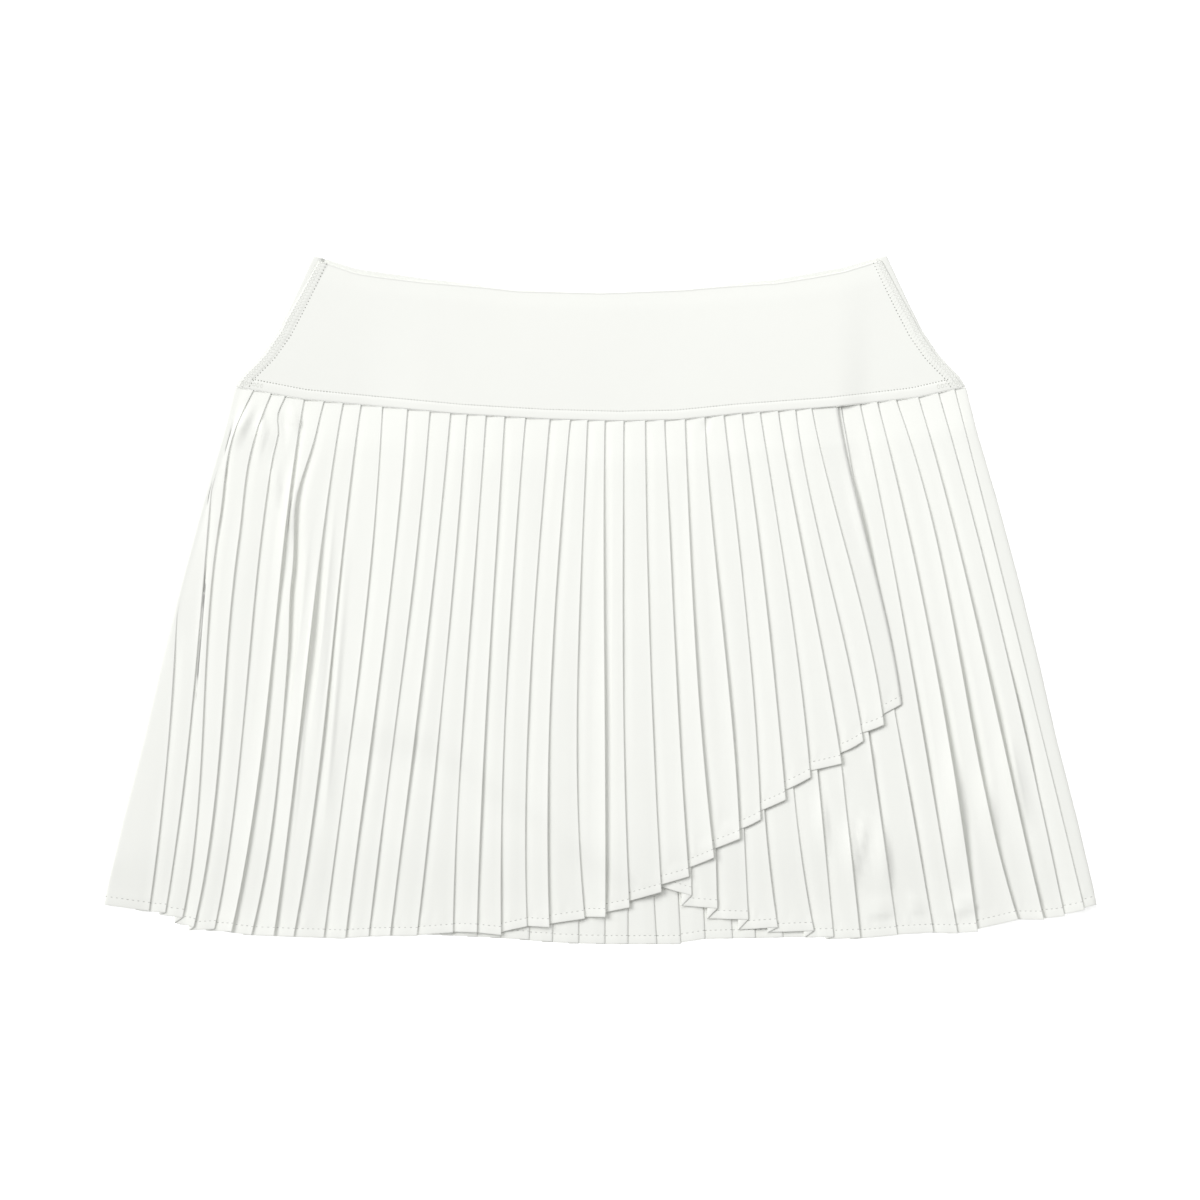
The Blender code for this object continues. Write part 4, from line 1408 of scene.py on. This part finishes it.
@dataclass(frozen=True)
class Finishes:
    """Every finish of the skirt."""

    pleats: ClothFinish = ClothFinish("pleated_white", (0.917, 0.925, 0.884, 1.0),
                                      (0.902, 0.91, 0.869, 1.0), 0.62, 0.1, 0.5, 0.5, 0.25)
    knit: ClothFinish = ClothFinish("knit_white", (0.897, 0.905, 0.865, 1.0),
                                    (0.887, 0.895, 0.855, 1.0), 0.6, 0.15, 0.45, 0.6, 0.3)
    lining: ClothFinish = ClothFinish("knit_back_white", (0.872, 0.88, 0.842, 1.0),
                                      (0.86, 0.868, 0.83, 1.0), 0.6, 0.1, 0.45, 0.6, 0.3)
    # painted shade: the white thread of the waist topstitch and side seam needle lines is coloured
    # dark grey for the shade of stitches sunk into the knit
    thread: ClothFinish = ClothFinish("sunk_thread", (0.4, 0.41, 0.38, 1.0),
                                      (0.32, 0.33, 0.3, 1.0), 0.5, 0.0, 0.4, 0.4, 0.0)
    loops: ClothFinish = ClothFinish("looped_thread", (0.8, 0.81, 0.77, 1.0),
                                     (0.76, 0.77, 0.73, 1.0), 0.5, 0.0, 0.4, 0.4, 0.0)
    # painted shade: the white hem thread is coloured mid grey for the shade of its stitches sunk
    # into the cloth
    hem: ClothFinish = ClothFinish("hem_thread_painted_shade", (0.62, 0.63, 0.6, 1.0),
                                   (0.55, 0.56, 0.53, 1.0), 0.5, 0.0, 0.4, 0.4, 0.0)


class Lamp(NamedTuple):
    """A soft light that faces the skirt; its size is in metres, or an angle for a sun."""

    name: str
    kind: str
    place: tuple[float, float, float]
    size: float
    power: float


@dataclass
class Studio:
    """Plain floor, soft light and the camera straight above."""

    frame_mm: float = 696.0
    lens: float = 220.0
    middle_height: float = 0.006
    sensor: float = 36.0
    clip_end: float = 100.0
    floor_size: float = 40.0
    floor_colour: Colour = (0.97, 0.97, 0.97, 1.0)
    floor_glow: float = 0.5
    white: Colour = (1.0, 1.0, 1.0, 1.0)
    world: float = 0.425
    lamps: tuple[Lamp, ...] = (
        Lamp("key", "SUN", (-1.0, 0.55, 1.15), 0.6, 1.77),
        Lamp("top", "AREA", (0.1, 0.85, 1.0), 0.6, 4.3),
    )

    def build(self) -> None:
        """Make the floor, the lights and the camera."""
        self.make_floor()
        self.make_light()
        self.make_camera()
        view = bpy.context.scene.view_settings
        view.view_transform = "Standard"
        view.look = "None"

    def make_floor(self) -> None:
        """A wide pale floor just under the skirt."""
        mesh = bpy.data.meshes.new("floor")
        half = 0.5 * self.floor_size
        mesh.from_pydata([(-half, -half, 0.0), (half, -half, 0.0), (half, half, 0.0),
                          (-half, half, 0.0)], [], [(0, 1, 2, 3)])
        floor = bpy.data.objects.new("floor", mesh)
        bpy.context.scene.collection.objects.link(floor)
        material = bpy.data.materials.new("pale_floor")
        material.use_nodes = True
        set_inputs(material.node_tree.nodes["Principled BSDF"], Base_Color=self.floor_colour,
                   Roughness=1.0, Specular_IOR_Level=0.0, Emission_Color=self.white,
                   Emission_Strength=self.floor_glow)
        mesh.materials.append(material)

    def make_light(self) -> None:
        """Even light all round, a key light at the upper left and a lamp above the waist."""
        world = bpy.data.worlds.new("studio")
        world.use_nodes = True
        set_inputs(world.node_tree.nodes["Background"], Color=self.white, Strength=self.world)
        bpy.context.scene.world = world
        for lamp in self.lamps:
            light = bpy.data.lights.new(lamp.name, lamp.kind)
            light.energy = lamp.power
            if lamp.kind == "SUN":
                light.angle = lamp.size
            else:
                light.size = lamp.size
            body = bpy.data.objects.new(lamp.name, light)
            body.location = lamp.place
            body.rotation_euler = (-Vector(lamp.place)).to_track_quat("-Z", "Y").to_euler()
            bpy.context.scene.collection.objects.link(body)

    def make_camera(self) -> None:
        """A long lens straight above the middle of the skirt."""
        data = bpy.data.cameras.new("camera")
        data.lens = self.lens
        data.sensor_width = self.sensor
        data.clip_end = self.clip_end
        camera = bpy.data.objects.new("camera", data)
        distance = self.frame_mm * MM * self.lens / self.sensor
        camera.location = (0.0, 0.0, distance + self.middle_height)
        bpy.context.scene.collection.objects.link(camera)
        bpy.context.scene.camera = camera


def ride(piece: bpy.types.Object, slot: str, *nodes: str) -> None:
    """Join a piece to the skirt's one body and hide the solids that it stands for."""
    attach(piece, "root")
    if nodes:
        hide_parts(*nodes)
    log.info("%s: %d faces", piece.name, len(piece.data.polygons))


def main() -> None:
    """Build the skirt piece by piece and light it."""
    logging.basicConfig(level=logging.INFO, format="%(name)s: %(message)s")
    threads, tone = weave_group(), tone_group()
    finishes = Finishes()
    pleats = finishes.pleats.make(threads, tone)
    knit = finishes.knit.make(threads, tone)
    # the topstitch, needle and hem threads are grey as painted shade of their sunk stitches
    thread = finishes.thread.make(threads, tone)
    loops = finishes.loops.make(threads, tone)
    hem = finishes.hem.make(threads, tone)
    underlap = hidden_creases() + list(UNDERLAP)
    panels = (
        PleatedPanel("pleats_back", "skirt_back", Layer.BACK, back_creases(), True, True, 36,
                     (1.04, 0.33), 0.229, waver=0.0),
        PleatedPanel("pleats_inner_wrap", "front_underlap", Layer.UNDERLAP, underlap, False,
                     True, 44, (0.73, 0.32), 0.138, (), UNDERLAP_TROUGHS, UNDERLAP_DENTS),
        PleatedPanel("pleats_outer_wrap", "front_overlap", Layer.OVERLAP, list(OVERLAP), True,
                     False, 44, (0.88, 0.32), 0.174, OVERLAP_BENDS, OVERLAP_TROUGHS,
                     OVERLAP_DENTS),
    )
    for panel in panels:
        piece = panel.build()
        piece.data.materials.append(pleats)
        stitches = StitchRun(panel.name.replace("pleats", "hem_stitches"), Stitch.HEM,
                             panel.hem_paths(), hem).build()
        ride(piece, "pleated_cloth", panel.node)
        ride(stitches, "pleated_cloth")
    yoke = Yoke()
    back, front = yoke.build_back(), yoke.build_front()
    back.data.materials.append(finishes.lining.make(threads, tone))
    front.data.materials.append(knit)
    runs = (
        StitchRun("waist_seam_stitches", Stitch.TOP, yoke.waist_stitching(), thread),
        StitchRun("side_seam_needles", Stitch.NEEDLE, yoke.side_seams((7.9, 7.9, 7.9)), thread),
        StitchRun("side_seam_rungs", Stitch.RUNG, yoke.side_seams((6.6, 5.6, 5.9)), loops),
        StitchRun("side_seam_loops", Stitch.LOOP,
                  yoke.side_seams((4.9, 3.1, 3.6)) + yoke.seam_ends(3.0), loops),
    )
    ride(back, "yoke_knit", "yoke_back")
    ride(front, "yoke_knit", "yoke_front")
    trims = []
    for run in runs:
        trims.append(run.build())
        ride(trims[-1], "yoke_knit")
    Studio().build()


if __name__ == "__main__":
    main()
